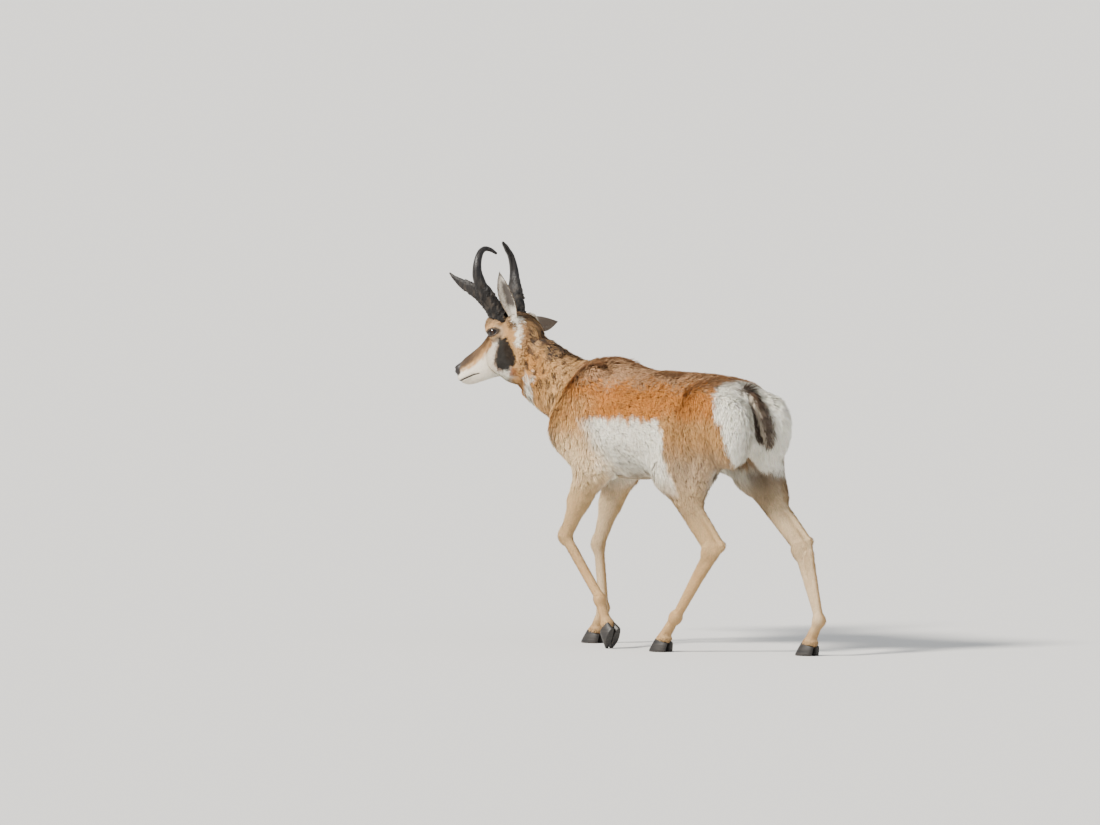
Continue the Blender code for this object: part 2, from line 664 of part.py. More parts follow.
def tube_object(name, rows, s, count, sides, flip):
    """A horn or prong from rows of along, out, up and two half sizes."""
    rows = smooth_rows(rows, count)
    centres = np.array([from_level(a, s * o, u) for a, o, u in rows[:, :3]])
    tangent = np.gradient(centres, axis=0)
    tangent /= np.linalg.norm(tangent, axis=1)[:, None]
    ahead = LEVEL @ (np.array([0.0, 0.0, 1.0]) if flip else np.array([0.12 * s, 1.0, 0.0]))
    u = ahead - tangent * (tangent @ ahead)[:, None]
    u /= np.linalg.norm(u, axis=1)[:, None]
    v = np.cross(tangent, u)
    bm = bmesh.new()
    tube(bm, centres, u, v, rows[:, 3], rows[:, 4], sides)
    bmesh.ops.recalc_face_normals(bm, faces=bm.faces)
    mesh = bpy.data.meshes.new(name)
    bm.to_mesh(mesh)
    bm.free()
    return show(mesh, name)


def make_horn(s, name):
    beam = tube_object(name, horn_path(s), s, 19, 8, False)
    prong = tube_object(name + "_prong", PRONG[s], s, 8, 8, True)
    boolean(beam, prong, "UNION")
    drop(prong)
    return beam


# ---------------------------------------------------------------- ears
EAR_ROOT = {1: (-0.060, 0.047, 0.030), -1: (-0.060, 0.046, 0.026)}   # along, out, up, level
EAR_DIRECTION = {1: (-0.15, 0.30, 0.94), -1: (0.20, 0.96, 0.02)}
EAR_BEND = {1: (0.040, 0.010, 0.000), -1: (-0.010, 0.000, -0.014)}
EAR_FACING = {1: (-0.05, 0.92, -0.30), -1: (0.80, -0.10, -0.55)}


def ear_frame(s):
    a, o, u = EAR_DIRECTION[s]
    along = LEVEL @ np.array([s * o, a, u])
    along /= np.linalg.norm(along)
    a, o, u = EAR_FACING[s]
    face = LEVEL @ np.array([s * o, a, u])
    face -= along * (face @ along)
    face /= np.linalg.norm(face)
    return along, face, np.cross(along, face)


def ear_width(t):
    """Half width of the ear at t along it: narrow root, broad middle, pointed tip."""
    return EAR_WIDTH * 0.5 * curve(
        (0.0, 0.48), (0.12, 0.56), (0.30, 0.86), (0.48, 1.0), (0.66, 0.88), (0.82, 0.58),
        (0.93, 0.28), (1.0, 0.05),
    )(t)


def ear_point(s, t, across, lift):
    """A point of the ear: t along it, across in half widths, lift out of the cup."""
    along, face, side = ear_frame(s)
    w = ear_width(t)
    hollow = 0.85 * w * across**2
    a, o, u = EAR_BEND[s]
    bend = LEVEL @ np.array([s * o, a, u]) * max(t, 0.0) ** 2
    root = from_level(EAR_ROOT[s][0], s * EAR_ROOT[s][1], EAR_ROOT[s][2])
    return root + along * (t * EAR_LENGTH) + bend + side * (across * w) + face * (
        hollow + lift - 0.010
    )


def make_ear(s, name):
    """A leaf-shaped cup: an outer and an inner wall that meet at the rim."""
    bm = bmesh.new()
    rings = []
    steps, half = 11, 5
    for i in range(steps + 1):
        t = -0.10 + 1.10 * i / steps
        tt = max(t, 0.0)
        thick = 0.0030 + 0.0150 * np.clip(1 - tt / 0.22, 0, 1) ** 1.2
        ring = []
        for k in range(half + 1):
            x = -1 + 2 * k / half
            ring.append(ear_point(s, t, x, -thick * 0.5 * (1 - 0.55 * x * x)))
        for k in range(half - 1, 0, -1):
            x = -1 + 2 * k / half
            ring.append(ear_point(s, t, x, thick * 0.5 * (1 - x * x) + 0.0006))
        rings.append([bm.verts.new(v) for v in ring])
    n = len(rings[0])
    for r0, r1 in zip(rings, rings[1:]):
        for k in range(n):
            j = (k + 1) % n
            bm.faces.new((r0[k], r0[j], r1[j], r1[k]))
    bm.faces.new(rings[0][::-1])
    bm.faces.new(rings[-1])
    bmesh.ops.triangulate(bm, faces=bm.faces)
    bmesh.ops.recalc_face_normals(bm, faces=bm.faces)
    mesh = bpy.data.meshes.new(name)
    bm.to_mesh(mesh)
    bm.free()
    return show(mesh, name)


# ---------------------------------------------------------------- tail, eyes, hooves
TAIL = (
    # f, l, z, half width, half thickness
    (-0.420, 0.000, 0.792, 0.026, 0.018),
    (-0.450, -0.002, 0.770, 0.025, 0.018),
    (-0.471, -0.006, 0.738, 0.024, 0.017),
    (-0.482, -0.011, 0.704, 0.023, 0.016),
    (-0.487, -0.015, 0.672, 0.020, 0.014),
    (-0.490, -0.018, 0.650, 0.014, 0.010),
    (-0.491, -0.019, 0.636, 0.005, 0.004),
)


def make_tail(name):
    rows = smooth_rows(TAIL, 9)
    centres = np.array([place(f, l, z) for f, l, z in rows[:, :3]])
    tangent = np.gradient(centres, axis=0)
    tangent /= np.linalg.norm(tangent, axis=1)[:, None]
    u = np.tile(_out, (len(rows), 1))
    v = np.cross(tangent, u)
    bm = bmesh.new()
    tube(bm, centres, u, v, rows[:, 3], rows[:, 4], 10)
    bmesh.ops.recalc_face_normals(bm, faces=bm.faces)
    mesh = bpy.data.meshes.new(name)
    bm.to_mesh(mesh)
    bm.free()
    return show(mesh, name)


def make_eye(s, name, radius, rings=7, segments=12):
    bm = bmesh.new()
    bmesh.ops.create_uvsphere(bm, u_segments=segments, v_segments=rings, radius=radius)
    mesh = bpy.data.meshes.new(name)
    bm.to_mesh(mesh)
    bm.free()
    obj = show(mesh, name)
    a, o, u = EYE_AT
    obj.location = Vector(from_head(a, s * o, u))
    bpy.context.view_layer.update()
    return obj


def hoof_outline(side, grow, lean, sides=10):
    """One toe of a cloven hoof, seen from above: flat inside, rounded outside, pointed ahead.

    Returns points (ahead, out). side is +1 for the outer toe and -1 for the inner one.
    """
    length, width = HOOF_LENGTH * grow, 0.0258 * grow
    points = []
    for k in range(sides):
        w = 2 * np.pi * (k + 0.5) / sides
        x, y = np.cos(w), np.sin(w)
        ahead = x * 0.5 * length + lean
        taper = 1.0 - 0.50 * max(0.0, x) ** 2.2
        out = (0.5 + 0.5 * y) * width * taper if y > 0 else 0.5 * width * taper * (1 + y)
        points.append((ahead, side * (0.0016 + max(out, 0.0))))
    return points


def hoof_frame(s, kind):
    """Where the hoof stands, the way its toe points, and the way up its wall."""
    if kind == "fore":
        c, fet = FORE_CORONET[s], FORE_FETLOCK[s]
    else:
        c, fet = HIND_CORONET[s], HIND_FETLOCK[s]
    return place(*c), place(*fet)


def make_hoof(s, kind, side, name):
    """A closed horn shoe: a narrow coronet above, a flat sole below."""
    coronet, _ = hoof_frame(s, kind)
    lifted = kind == "fore" and s == 1
    bm = bmesh.new()
    rings = []
    # (height in hoof heights, growth, lean ahead) from the sole up to the coronet
    for h, grow, lean in ((0.0, 1.0, 0.008), (0.10, 1.03, 0.008), (0.55, 0.91, 0.000), (1.0, 0.76, -0.008)):
        ring = []
        for ahead, out in hoof_outline(side, grow, lean):
            z = h * HOOF_HEIGHT * (1.0 - 0.30 * np.clip(-ahead / 0.033, 0, 1) * (h > 0.5))
            ring.append((ahead, out, z))
        rings.append(ring)
    if lifted:
        # The toe just leaves the ground: the hoof stands on its tip, sole facing back.
        pitch = np.radians(66.0)
        turned = []
        for ring in rings:
            turned.append([
                (a * np.cos(pitch) + z * np.sin(pitch), o, -a * np.sin(pitch) + z * np.cos(pitch))
                for a, o, z in ring
            ])
        low = min(z for ring in turned for _, _, z in ring)
        flat = low + 0.0030
        rings = [[(a, o, max(z, flat) - flat) for a, o, z in ring] for ring in turned]
        top = np.mean(rings[-1], axis=0)
        base = np.array([coronet[0], coronet[1] + top[0], 0.0])
    else:
        base = np.array([coronet[0], coronet[1] - 0.012, 0.0])
    for ring in rings:
        for a, o, z in ring:
            bm.verts.new((base[0] + s * o, base[1] - a, z))
    bmesh.ops.remove_doubles(bm, verts=bm.verts, dist=0.0003)
    hull = bmesh.ops.convex_hull(bm, input=bm.verts)
    spare = {g for g in hull["geom_interior"] + hull["geom_unused"] if isinstance(g, bmesh.types.BMVert)}
    bmesh.ops.delete(bm, geom=list(spare), context="VERTS")
    bmesh.ops.recalc_face_normals(bm, faces=bm.faces)
    mesh = bpy.data.meshes.new(name)
    bm.to_mesh(mesh)
    bm.free()
    return show(mesh, name)


# ---------------------------------------------------------------- parting the body
def unit(v):
    v = np.array(v, float)
    return v / np.linalg.norm(v)


def part_body(body):
    """Cuts the one body into named lengths with thin sheets."""
    ahead = lambda f, z: np.array([0.0, -f, z])
    cuts = [
        slab("cut_head", place(0.522, 0.006, 0.885), unit(ahead(0.934, 0.357)), 0.34, 0.34),
        slab("cut_neck", place(0.345, 0.0, 0.768), unit(ahead(0.827, 0.563)), 0.40, 0.46),
        slab("cut_fore", place(0.200, 0.0, 0.488), unit(ahead(0.06, 1.0)), 0.40, 0.30),
        slab("cut_hind", place(-0.290, 0.0, 0.5335), unit(ahead(0.11, 1.0)), 0.40, 0.46),
    ]
    for s, tag in ((1, "left"), (-1, "right")):
        shin = unit(place(*FORE_FETLOCK[s]) - place(*KNEE[s]))
        meta = unit(place(*HIND_FETLOCK[s]) - place(*HOCK[s]))
        cuts.append(slab("cut_knee_" + tag, place(*KNEE[s]) + shin * 0.026, shin, 0.10, 0.10))
        cuts.append(slab("cut_hock_" + tag, place(*HOCK[s]) + meta * 0.040, meta, 0.10, 0.14))
    for cut in cuts:
        boolean(body, cut, "DIFFERENCE", 0.99, 1.0)
        drop(cut)
    bm = bmesh.new()
    bm.from_mesh(body.data)
    bm.verts.ensure_lookup_table()
    label = {}
    pieces = []
    for v in bm.verts:
        if v.index in label:
            continue
        stack, found = [v], []
        label[v.index] = len(pieces)
        while stack:
            w = stack.pop()
            found.append(w)
            for e in w.link_edges:
                o = e.other_vert(w)
                if o.index not in label:
                    label[o.index] = len(pieces)
                    stack.append(o)
        pieces.append(found)
    result = []
    for found in pieces:
        keep = {v.index for v in found}
        one = bm.copy()
        one.verts.ensure_lookup_table()
        bmesh.ops.delete(one, geom=[v for v in one.verts if v.index not in keep], context="VERTS")
        mesh = bpy.data.meshes.new("piece")
        one.to_mesh(mesh)
        one.free()
        result.append(show(mesh, "piece"))
    bm.free()
    drop(body)
    return result


def name_of(obj):
    """The name that a piece's place gives it."""
    p = points_of(obj.data)
    low, high = p.min(0), p.max(0)
    mid = (low + high) / 2
    f = ORIGIN_F - mid[1]
    side = "left" if mid[0] + ORIGIN_L > 0 else "right"
    if f < 0.2 and high[1] - low[1] > 0.5:
        return "trunk"
    if mid[2] > 0.84:
        return "head" if f > 0.6 else "neck"
    if mid[2] > 0.60:
        return "neck"
    if mid[2] > 0.30 and high[2] > 0.40:
        return ("foreleg_upper_" if f > 0 else "hindleg_upper_") + side
    return ("foreleg_lower_" if f > 0 else "hindleg_lower_") + side


def main():
    clear_scene()
    coats = {
        "trunk": ((0.46, 0.24, 0.10), 0.85),
        "neck": ((0.48, 0.29, 0.14), 0.85),
        "head": ((0.50, 0.33, 0.19), 0.80),
        "leg": ((0.60, 0.42, 0.26), 0.80),
        "ear": ((0.52, 0.42, 0.33), 0.80),
        "tail": ((0.16, 0.10, 0.06), 0.85),
    }
    materials = {k: make_material("coat_" + k, c, r) for k, (c, r) in coats.items()}
    horn = make_material("horn", (0.022, 0.020, 0.019), 0.45)
    hoof = make_material("hoof", (0.030, 0.026, 0.024), 0.40)
    eye = make_material("eye", (0.012, 0.008, 0.006), 0.06)

    for piece in part_body(make_body()):
        name = name_of(piece)
        kind = name.split("_")[0].replace("foreleg", "leg").replace("hindleg", "leg")
        finish(tidy(piece), name, materials[kind])

    head = bpy.data.objects["head"]
    room = swollen(head, GAP)
    for s, tag in ((1, "left"), (-1, "right")):
        one = make_horn(s, "horn_" + tag)
        boolean(one, room, "DIFFERENCE")
        finish(tidy(one), "horn_" + tag, horn)
        one = make_ear(s, "ear_" + tag)
        boolean(one, room, "DIFFERENCE")
        finish(tidy(one), "ear_" + tag, materials["ear"])
    drop(room)
    for s, tag in ((1, "left"), (-1, "right")):
        socket = make_eye(s, "socket_" + tag, EYE_RADIUS + 0.0006)
        boolean(head, socket, "DIFFERENCE", 0.97, 1.0)
        drop(socket)
        finish(make_eye(s, "eye_" + tag, EYE_RADIUS), "eye_" + tag, eye)
    finish(tidy(head), "head", materials["head"])

    room = swollen(bpy.data.objects["trunk"], GAP)
    tail = make_tail("tail")
    boolean(tail, room, "DIFFERENCE")
    finish(tidy(tail), "tail", materials["tail"])
    drop(room)

    for kind in ("fore", "hind"):
        for s, tag in ((1, "left"), (-1, "right")):
            leg = bpy.data.objects[kind + "leg_lower_" + tag]
            for side, where in ((1, "outer"), (-1, "inner")):
                name = f"hoof_{kind}_{tag}_{where}"
                shoe = make_hoof(s, kind, side, name)
                room = swollen(shoe, GAP)
                boolean(leg, room, "DIFFERENCE", 0.80, 1.001)
                drop(room)
                finish(shoe, name, hoof, smooth=False)
            finish(tidy(leg), leg.name, materials["leg"])


main()
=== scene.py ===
"""The life-size pronghorn's looks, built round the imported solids.

One skin replaces the nodes of flesh and lies inside them by the depth of the
coat. The coat is mesh tufts rooted on the skin. Eyes, horns and hooves are
finer pieces in the place of their solids. A point of the body is written
(f, l, z): forward, to its left, and up, in metres.
"""

import bmesh
import bpy
import numpy as np
from mathutils import Matrix, Vector
from mathutils.kdtree import KDTree


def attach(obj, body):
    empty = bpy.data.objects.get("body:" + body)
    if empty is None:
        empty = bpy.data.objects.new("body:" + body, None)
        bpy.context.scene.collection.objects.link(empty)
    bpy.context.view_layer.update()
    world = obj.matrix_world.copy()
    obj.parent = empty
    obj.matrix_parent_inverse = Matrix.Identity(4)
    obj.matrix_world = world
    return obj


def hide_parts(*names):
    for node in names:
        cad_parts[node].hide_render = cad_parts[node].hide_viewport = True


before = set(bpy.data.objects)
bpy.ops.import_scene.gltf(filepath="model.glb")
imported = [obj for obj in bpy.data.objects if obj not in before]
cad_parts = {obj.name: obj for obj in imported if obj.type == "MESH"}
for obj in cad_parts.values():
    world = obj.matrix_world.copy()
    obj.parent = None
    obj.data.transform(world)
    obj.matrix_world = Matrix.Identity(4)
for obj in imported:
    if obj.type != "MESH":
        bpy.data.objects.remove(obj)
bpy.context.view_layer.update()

ORIGIN_F = 0.069        # the model's origin, measured forward in the body's frame
ORIGIN_L = -0.0175

# joints of the left and right legs, (f, l, z)
SHOULDER = {1: (0.270, 0.088, 0.665), -1: (0.290, -0.088, 0.665)}
ELBOW = {1: (0.160, 0.096, 0.545), -1: (0.226, -0.094, 0.535)}
KNEE = {1: (0.276, 0.092, 0.334), -1: (0.315, -0.085, 0.300)}
FORE_FETLOCK = {1: (0.129, 0.088, 0.147), -1: (0.288, -0.080, 0.108)}
FORE_CORONET = {1: (0.100, 0.088, 0.073), -1: (0.318, -0.080, 0.048)}
HIP = {1: (-0.318, 0.078, 0.735), -1: (-0.330, -0.078, 0.735)}
STIFLE = {1: (-0.205, 0.112, 0.552), -1: (-0.330, -0.112, 0.548)}
HAM = {1: (-0.298, 0.098, 0.500), -1: (-0.448, -0.098, 0.490)}
HOCK = {1: (-0.352, 0.092, 0.314), -1: (-0.552, -0.092, 0.320)}
HEEL = {1: (-0.404, 0.091, 0.334), -1: (-0.596, -0.091, 0.348)}
HIND_FETLOCK = {1: (-0.201, 0.088, 0.108), -1: (-0.643, -0.088, 0.108)}
HIND_CORONET = {1: (-0.152, 0.088, 0.048), -1: (-0.606, -0.088, 0.048)}

# the head: where its middle sits, how far it turns left and nods down
HEAD_AT = (0.620, 0.010, 0.946)
HEAD_YAW = 10.0
HEAD_PITCH = 25.0
EYE_AT = (0.004, 0.0555, -0.002)   # along, out, up in the head's own frame
EYE_RADIUS = 0.0205

HOOF_HEIGHT = 0.040
HOOF_LENGTH = 0.074
EAR_LENGTH = 0.158
EAR_WIDTH = 0.058


# ---------------------------------------------------------------- frames
def place(f, l, z):
    """A point (f, l, z) of the body in the model's axes."""
    return np.array([l - ORIGIN_L, -(f - ORIGIN_F), z])


def turn(axis, degrees):
    return np.array(Matrix.Rotation(np.radians(degrees), 3, axis))


# Columns of HEAD are the head's own axes: out to its left, along the muzzle, up.
_along = np.array([0.0, -1.0, 0.0])
_out = np.array([1.0, 0.0, 0.0])
_up = np.array([0.0, 0.0, 1.0])
_nod = turn("X", HEAD_PITCH)
_yaw = turn("Z", HEAD_YAW)
HEAD = np.stack([_yaw @ _nod @ v for v in (_out, _along, _up)], axis=1)
LEVEL = np.stack([_yaw @ v for v in (_out, _along, _up)], axis=1)
HEAD_ORIGIN = place(*HEAD_AT)


def in_head(p):
    """World points as (out, along, up) of the head's own frame."""
    return (p - HEAD_ORIGIN) @ HEAD


def from_head(along, out, up):
    return HEAD_ORIGIN + HEAD @ np.array([out, along, up])


def from_level(along, out, up):
    """A point measured from the middle of the head, turned but not nodding."""
    return HEAD_ORIGIN + LEVEL @ np.array([out, along, up])


# ---------------------------------------------------------------- smooth forms
def curve(*knots):
    """A smooth curve through (x, y) knots, read by interpolation."""
    x = np.array([k[0] for k in knots], float)
    y = np.array([k[1] for k in knots], float)
    order = np.argsort(x)
    x, y = x[order], y[order]
    h = np.diff(x)
    slope = np.diff(y) / h
    m = np.zeros(len(x))
    m[0], m[-1] = slope[0], slope[-1]
    for i in range(1, len(x) - 1):
        m[i] = (slope[i - 1] * h[i] + slope[i] * h[i - 1]) / (h[i - 1] + h[i])
    t = np.linspace(x[0], x[-1], 600)
    i = np.clip(np.searchsorted(x, t, side="right") - 1, 0, len(x) - 2)
    s = (t - x[i]) / h[i]
    v = (
        y[i] * (1 + 2 * s) * (1 - s) ** 2
        + m[i] * h[i] * s * (1 - s) ** 2
        + y[i + 1] * s**2 * (3 - 2 * s)
        + m[i + 1] * h[i] * s**2 * (s - 1)
    )
    return lambda at: np.interp(at, t, v)


def smooth_rows(rows, count):
    """Rows of numbers read along a smooth curve through them."""
    rows = np.array(rows, float)
    length = np.concatenate([[0], np.cumsum(np.linalg.norm(np.diff(rows[:, :3], axis=0), axis=1))])
    t = np.linspace(0, length[-1], count)
    return np.stack([curve(*zip(length, rows[:, i]))(t) for i in range(rows.shape[1])], axis=1)


def blend(a, b, k):
    """The union of two forms with a fillet about k wide."""
    h = np.maximum(k - np.abs(a - b), 0.0) / k
    return np.minimum(a, b) - h * h * k * 0.25


def carve(a, b, k):
    """Form a with form b taken out of it, the edge rounded."""
    return -blend(-a, b, k)


def rod(p, a, b, ra, rb, flat=1.0, side=_out):
    """A tapered round-ended rod, its section flattened along side."""
    a, b = np.asarray(a, float), np.asarray(b, float)
    ab = b - a
    t = np.clip((p - a) @ ab / (ab @ ab), 0.0, 1.0)
    q = p - a - t[:, None] * ab
    if flat != 1.0:
        q = q + np.outer(q @ side, side) * (1.0 / flat - 1.0)
    return (np.sqrt((q * q).sum(1)) - (ra + (rb - ra) * t)) * min(1.0, flat)


def egg(p, at, radii, axes=None):
    """An ellipsoid with its radii along the columns of axes."""
    q = p - np.asarray(at, float)
    if axes is not None:
        q = q @ axes
    r = np.asarray(radii, float)
    k0 = np.sqrt(((q / r) ** 2).sum(1)) + 1e-9
    k1 = np.sqrt(((q / r**2) ** 2).sum(1)) + 1e-9
    return k0 * (k0 - 1.0) / k1


def loft(along, out, up, top, bottom, half, power, reach):
    """A body of rounded sections: top, bottom and half width vary along it."""
    a0, a1 = reach
    s = np.clip(along, a0, a1)
    zt, zb, w = top(s), bottom(s), half(s)
    h = np.maximum((zt - zb) * 0.5, 0.004)
    w = np.maximum(w, 0.004)
    n = power
    r = (np.abs(out / w) ** n + np.abs((up - (zt + zb) * 0.5) / h) ** n) ** (1.0 / n)
    d = (r - 1.0) * np.minimum(w, h)
    past = along - s
    return np.where(past == 0.0, d, np.sqrt(np.maximum(d, 0.0) ** 2 + past**2))


TOP = curve(
    (-0.468, 0.665), (-0.460, 0.735), (-0.445, 0.775), (-0.420, 0.805), (-0.385, 0.826),
    (-0.340, 0.841), (-0.280, 0.848), (-0.180, 0.852), (-0.080, 0.854), (0.000, 0.856),
    (0.055, 0.868), (0.105, 0.881), (0.165, 0.887), (0.220, 0.872), (0.270, 0.838),
    (0.315, 0.800), (0.352, 0.750), (0.368, 0.690),
)
BOTTOM = curve(
    (-0.468, 0.665), (-0.458, 0.635), (-0.420, 0.610), (-0.360, 0.594), (-0.280, 0.575),
    (-0.200, 0.548), (-0.120, 0.528), (-0.030, 0.515), (0.060, 0.508), (0.150, 0.512),
    (0.220, 0.527), (0.280, 0.553), (0.322, 0.585), (0.353, 0.625), (0.368, 0.690),
)
HALF = curve(
    (-0.468, 0.004), (-0.458, 0.055), (-0.435, 0.092), (-0.395, 0.118), (-0.320, 0.130),
    (-0.220, 0.136), (-0.100, 0.143), (0.000, 0.142), (0.100, 0.132), (0.180, 0.120),
    (0.250, 0.108), (0.310, 0.088), (0.350, 0.055), (0.368, 0.006),
)


def trunk_form(p):
    f = ORIGIN_F - p[:, 1]
    l = p[:, 0] + ORIGIN_L
    z = p[:, 2]
    # The ribs are widest below the middle, and the spine stands as a low ridge.
    tilt = 1.0 - 0.26 * np.clip((z - 0.70) / 0.18, -0.35, 1.0)
    d = loft(f, l / tilt, z, TOP, BOTTOM, HALF, 2.15, (-0.4675, 0.3675))
    for s in (1, -1):
        # shoulder blade and upper arm
        blade = turn("X", -24)
        d = blend(d, egg(p, place(0.205, s * 0.078, 0.742), (0.048, 0.080, 0.135), blade), 0.05)
        d = blend(d, rod(p, place(*SHOULDER[s]), place(*ELBOW[s]), 0.064, 0.052, 0.80), 0.05)
        # haunch: the front and the back of the thigh, and the rounded rump lobe
        hip, stifle = place(*HIP[s]), place(*STIFLE[s])
        d = blend(d, rod(p, hip, stifle, 0.088, 0.058, 0.72), 0.045)
        back = place(HIP[s][0] - 0.075, s * 0.072, 0.690)
        low = place(*HAM[s])
        d = blend(d, rod(p, back, low, 0.070, 0.040, 0.75), 0.04)
        d = blend(d, egg(p, place(-0.418, s * 0.076, 0.686), (0.074, 0.094, 0.116)), 0.03)
        # fold of the flank, and the back of the upper arm
        d = blend(d, rod(p, place(-0.105, s * 0.100, 0.610), stifle, 0.048, 0.048, 0.60), 0.05)
        arm = place(ELBOW[s][0] - 0.020, s * 0.088, ELBOW[s][2] + 0.020)
        d = blend(d, rod(p, place(0.120, s * 0.085, 0.680), arm, 0.060, 0.042, 0.70), 0.05)
    # breast between the shoulders
    d = blend(d, egg(p, place(0.288, 0.0, 0.640), (0.085, 0.075, 0.085)), 0.05)
    # The tail lies in a groove between the rump lobes.
    d = carve(d, rod(p, place(-0.500, 0, 0.770), place(-0.512, 0, 0.600), 0.024, 0.032), 0.03)
    return d


NECK_ROOT = (0.205, 0.722)   # f, z of the neck's own line inside the chest
NECK_RISE = np.radians(25.7)
NECK_TOP = curve(
    (0.000, 0.140), (0.094, 0.114), (0.184, 0.0985), (0.268, 0.094), (0.345, 0.0945),
    (0.405, 0.086), (0.440, 0.060),
)
NECK_BOTTOM = curve(
    (0.000, -0.130), (0.094, -0.132), (0.184, -0.136), (0.268, -0.134), (0.345, -0.119),
    (0.405, -0.098), (0.440, -0.070),
)
NECK_HALF = curve(
    (0.000, 0.098), (0.094, 0.090), (0.184, 0.079), (0.268, 0.070), (0.345, 0.064),
    (0.405, 0.060), (0.440, 0.040),
)


def neck_form(p):
    f = ORIGIN_F - p[:, 1] - NECK_ROOT[0]
    z = p[:, 2] - NECK_ROOT[1]
    along = f * np.cos(NECK_RISE) + z * np.sin(NECK_RISE)
    up = z * np.cos(NECK_RISE) - f * np.sin(NECK_RISE)
    out = p[:, 0] + ORIGIN_L - 0.008 * np.clip(along / 0.40, 0.0, 1.0) ** 2
    # The nape is narrower than the throat.
    tilt = 1.0 - 0.22 * np.clip(up / 0.10, -0.4, 1.0)
    return loft(along, out / tilt, up, NECK_TOP, NECK_BOTTOM, NECK_HALF, 2.05, (0.0, 0.440))


SKULL_TOP = curve(
    (-0.118, -0.045), (-0.105, -0.005), (-0.080, 0.027), (-0.045, 0.045), (-0.010, 0.047),
    (0.025, 0.037), (0.060, 0.018), (0.100, 0.001), (0.145, -0.008), (0.183, -0.015),
    (0.204, -0.024), (0.216, -0.038), (0.222, -0.057),
)
SKULL_BOTTOM = curve(
    (-0.118, -0.060), (-0.090, -0.105), (-0.050, -0.130), (-0.005, -0.140), (0.030, -0.139),
    (0.060, -0.129), (0.090, -0.117), (0.125, -0.110), (0.157, -0.105), (0.184, -0.100),
    (0.204, -0.092), (0.216, -0.079), (0.222, -0.061),
)
SKULL_HALF = curve(
    (-0.118, 0.010), (-0.100, 0.040), (-0.065, 0.053), (-0.020, 0.056), (0.020, 0.052),
    (0.055, 0.043), (0.095, 0.034), (0.135, 0.0285), (0.170, 0.0275), (0.196, 0.0265),
    (0.214, 0.019), (0.222, 0.006),
)


def head_form(p):
    q = in_head(p)
    out, along, up = q[:, 0], q[:, 1], q[:, 2]
    # The face narrows towards the bridge of the nose, and the jaw is narrower below.
    mid = (SKULL_TOP(along) + SKULL_BOTTOM(along)) * 0.5
    deep = np.maximum((SKULL_TOP(along) - SKULL_BOTTOM(along)) * 0.5, 0.01)
    v = np.clip((up - mid) / deep, -1, 1)
    slim = 1.0 - 0.16 * np.clip(v, 0, 1) ** 2 - 0.22 * np.clip(-v, 0, 1) ** 2
    d = loft(along, out / slim, up, SKULL_TOP, SKULL_BOTTOM, SKULL_HALF, 2.3, (-0.1175, 0.2215))
    for s in (1, -1):
        side = lambda a, o, u: from_head(a, s * o, u)
        # brow and socket rim
        d = blend(d, egg(p, side(0.000, 0.046, 0.002), (0.0285, 0.036, 0.032), HEAD), 0.022)
        # cheek
        d = blend(d, egg(p, side(0.022, 0.036, -0.078), (0.020, 0.055, 0.048), HEAD), 0.03)
        # pedicle under the horn
        d = blend(d, egg(p, side(-0.006, 0.048, 0.029), (0.023, 0.038, 0.025), HEAD), 0.02)
        # root of the ear
        d = blend(d, egg(p, side(-0.066, 0.044, 0.002), (0.020, 0.024, 0.026), HEAD), 0.02)
        # wing of the nostril, and the upper lip
        d = blend(d, egg(p, side(0.203, 0.017, -0.040), (0.012, 0.018, 0.015), HEAD), 0.012)
        d = blend(d, egg(p, side(0.184, 0.016, -0.068), (0.014, 0.034, 0.013), HEAD), 0.012)
    return d


def web_of(s):
    """The line down the middle of the skin between a shin bone and its heel tendon."""
    stifle, hock, heel = place(*STIFLE[s]), place(*HOCK[s]), place(*HEEL[s])
    down = (hock - stifle) / np.linalg.norm(hock - stifle)
    back = np.cross(_out, down)
    back *= np.sign(back[1])
    return stifle + down * 0.11 + back * 0.018, (hock + heel) / 2 - down * 0.004


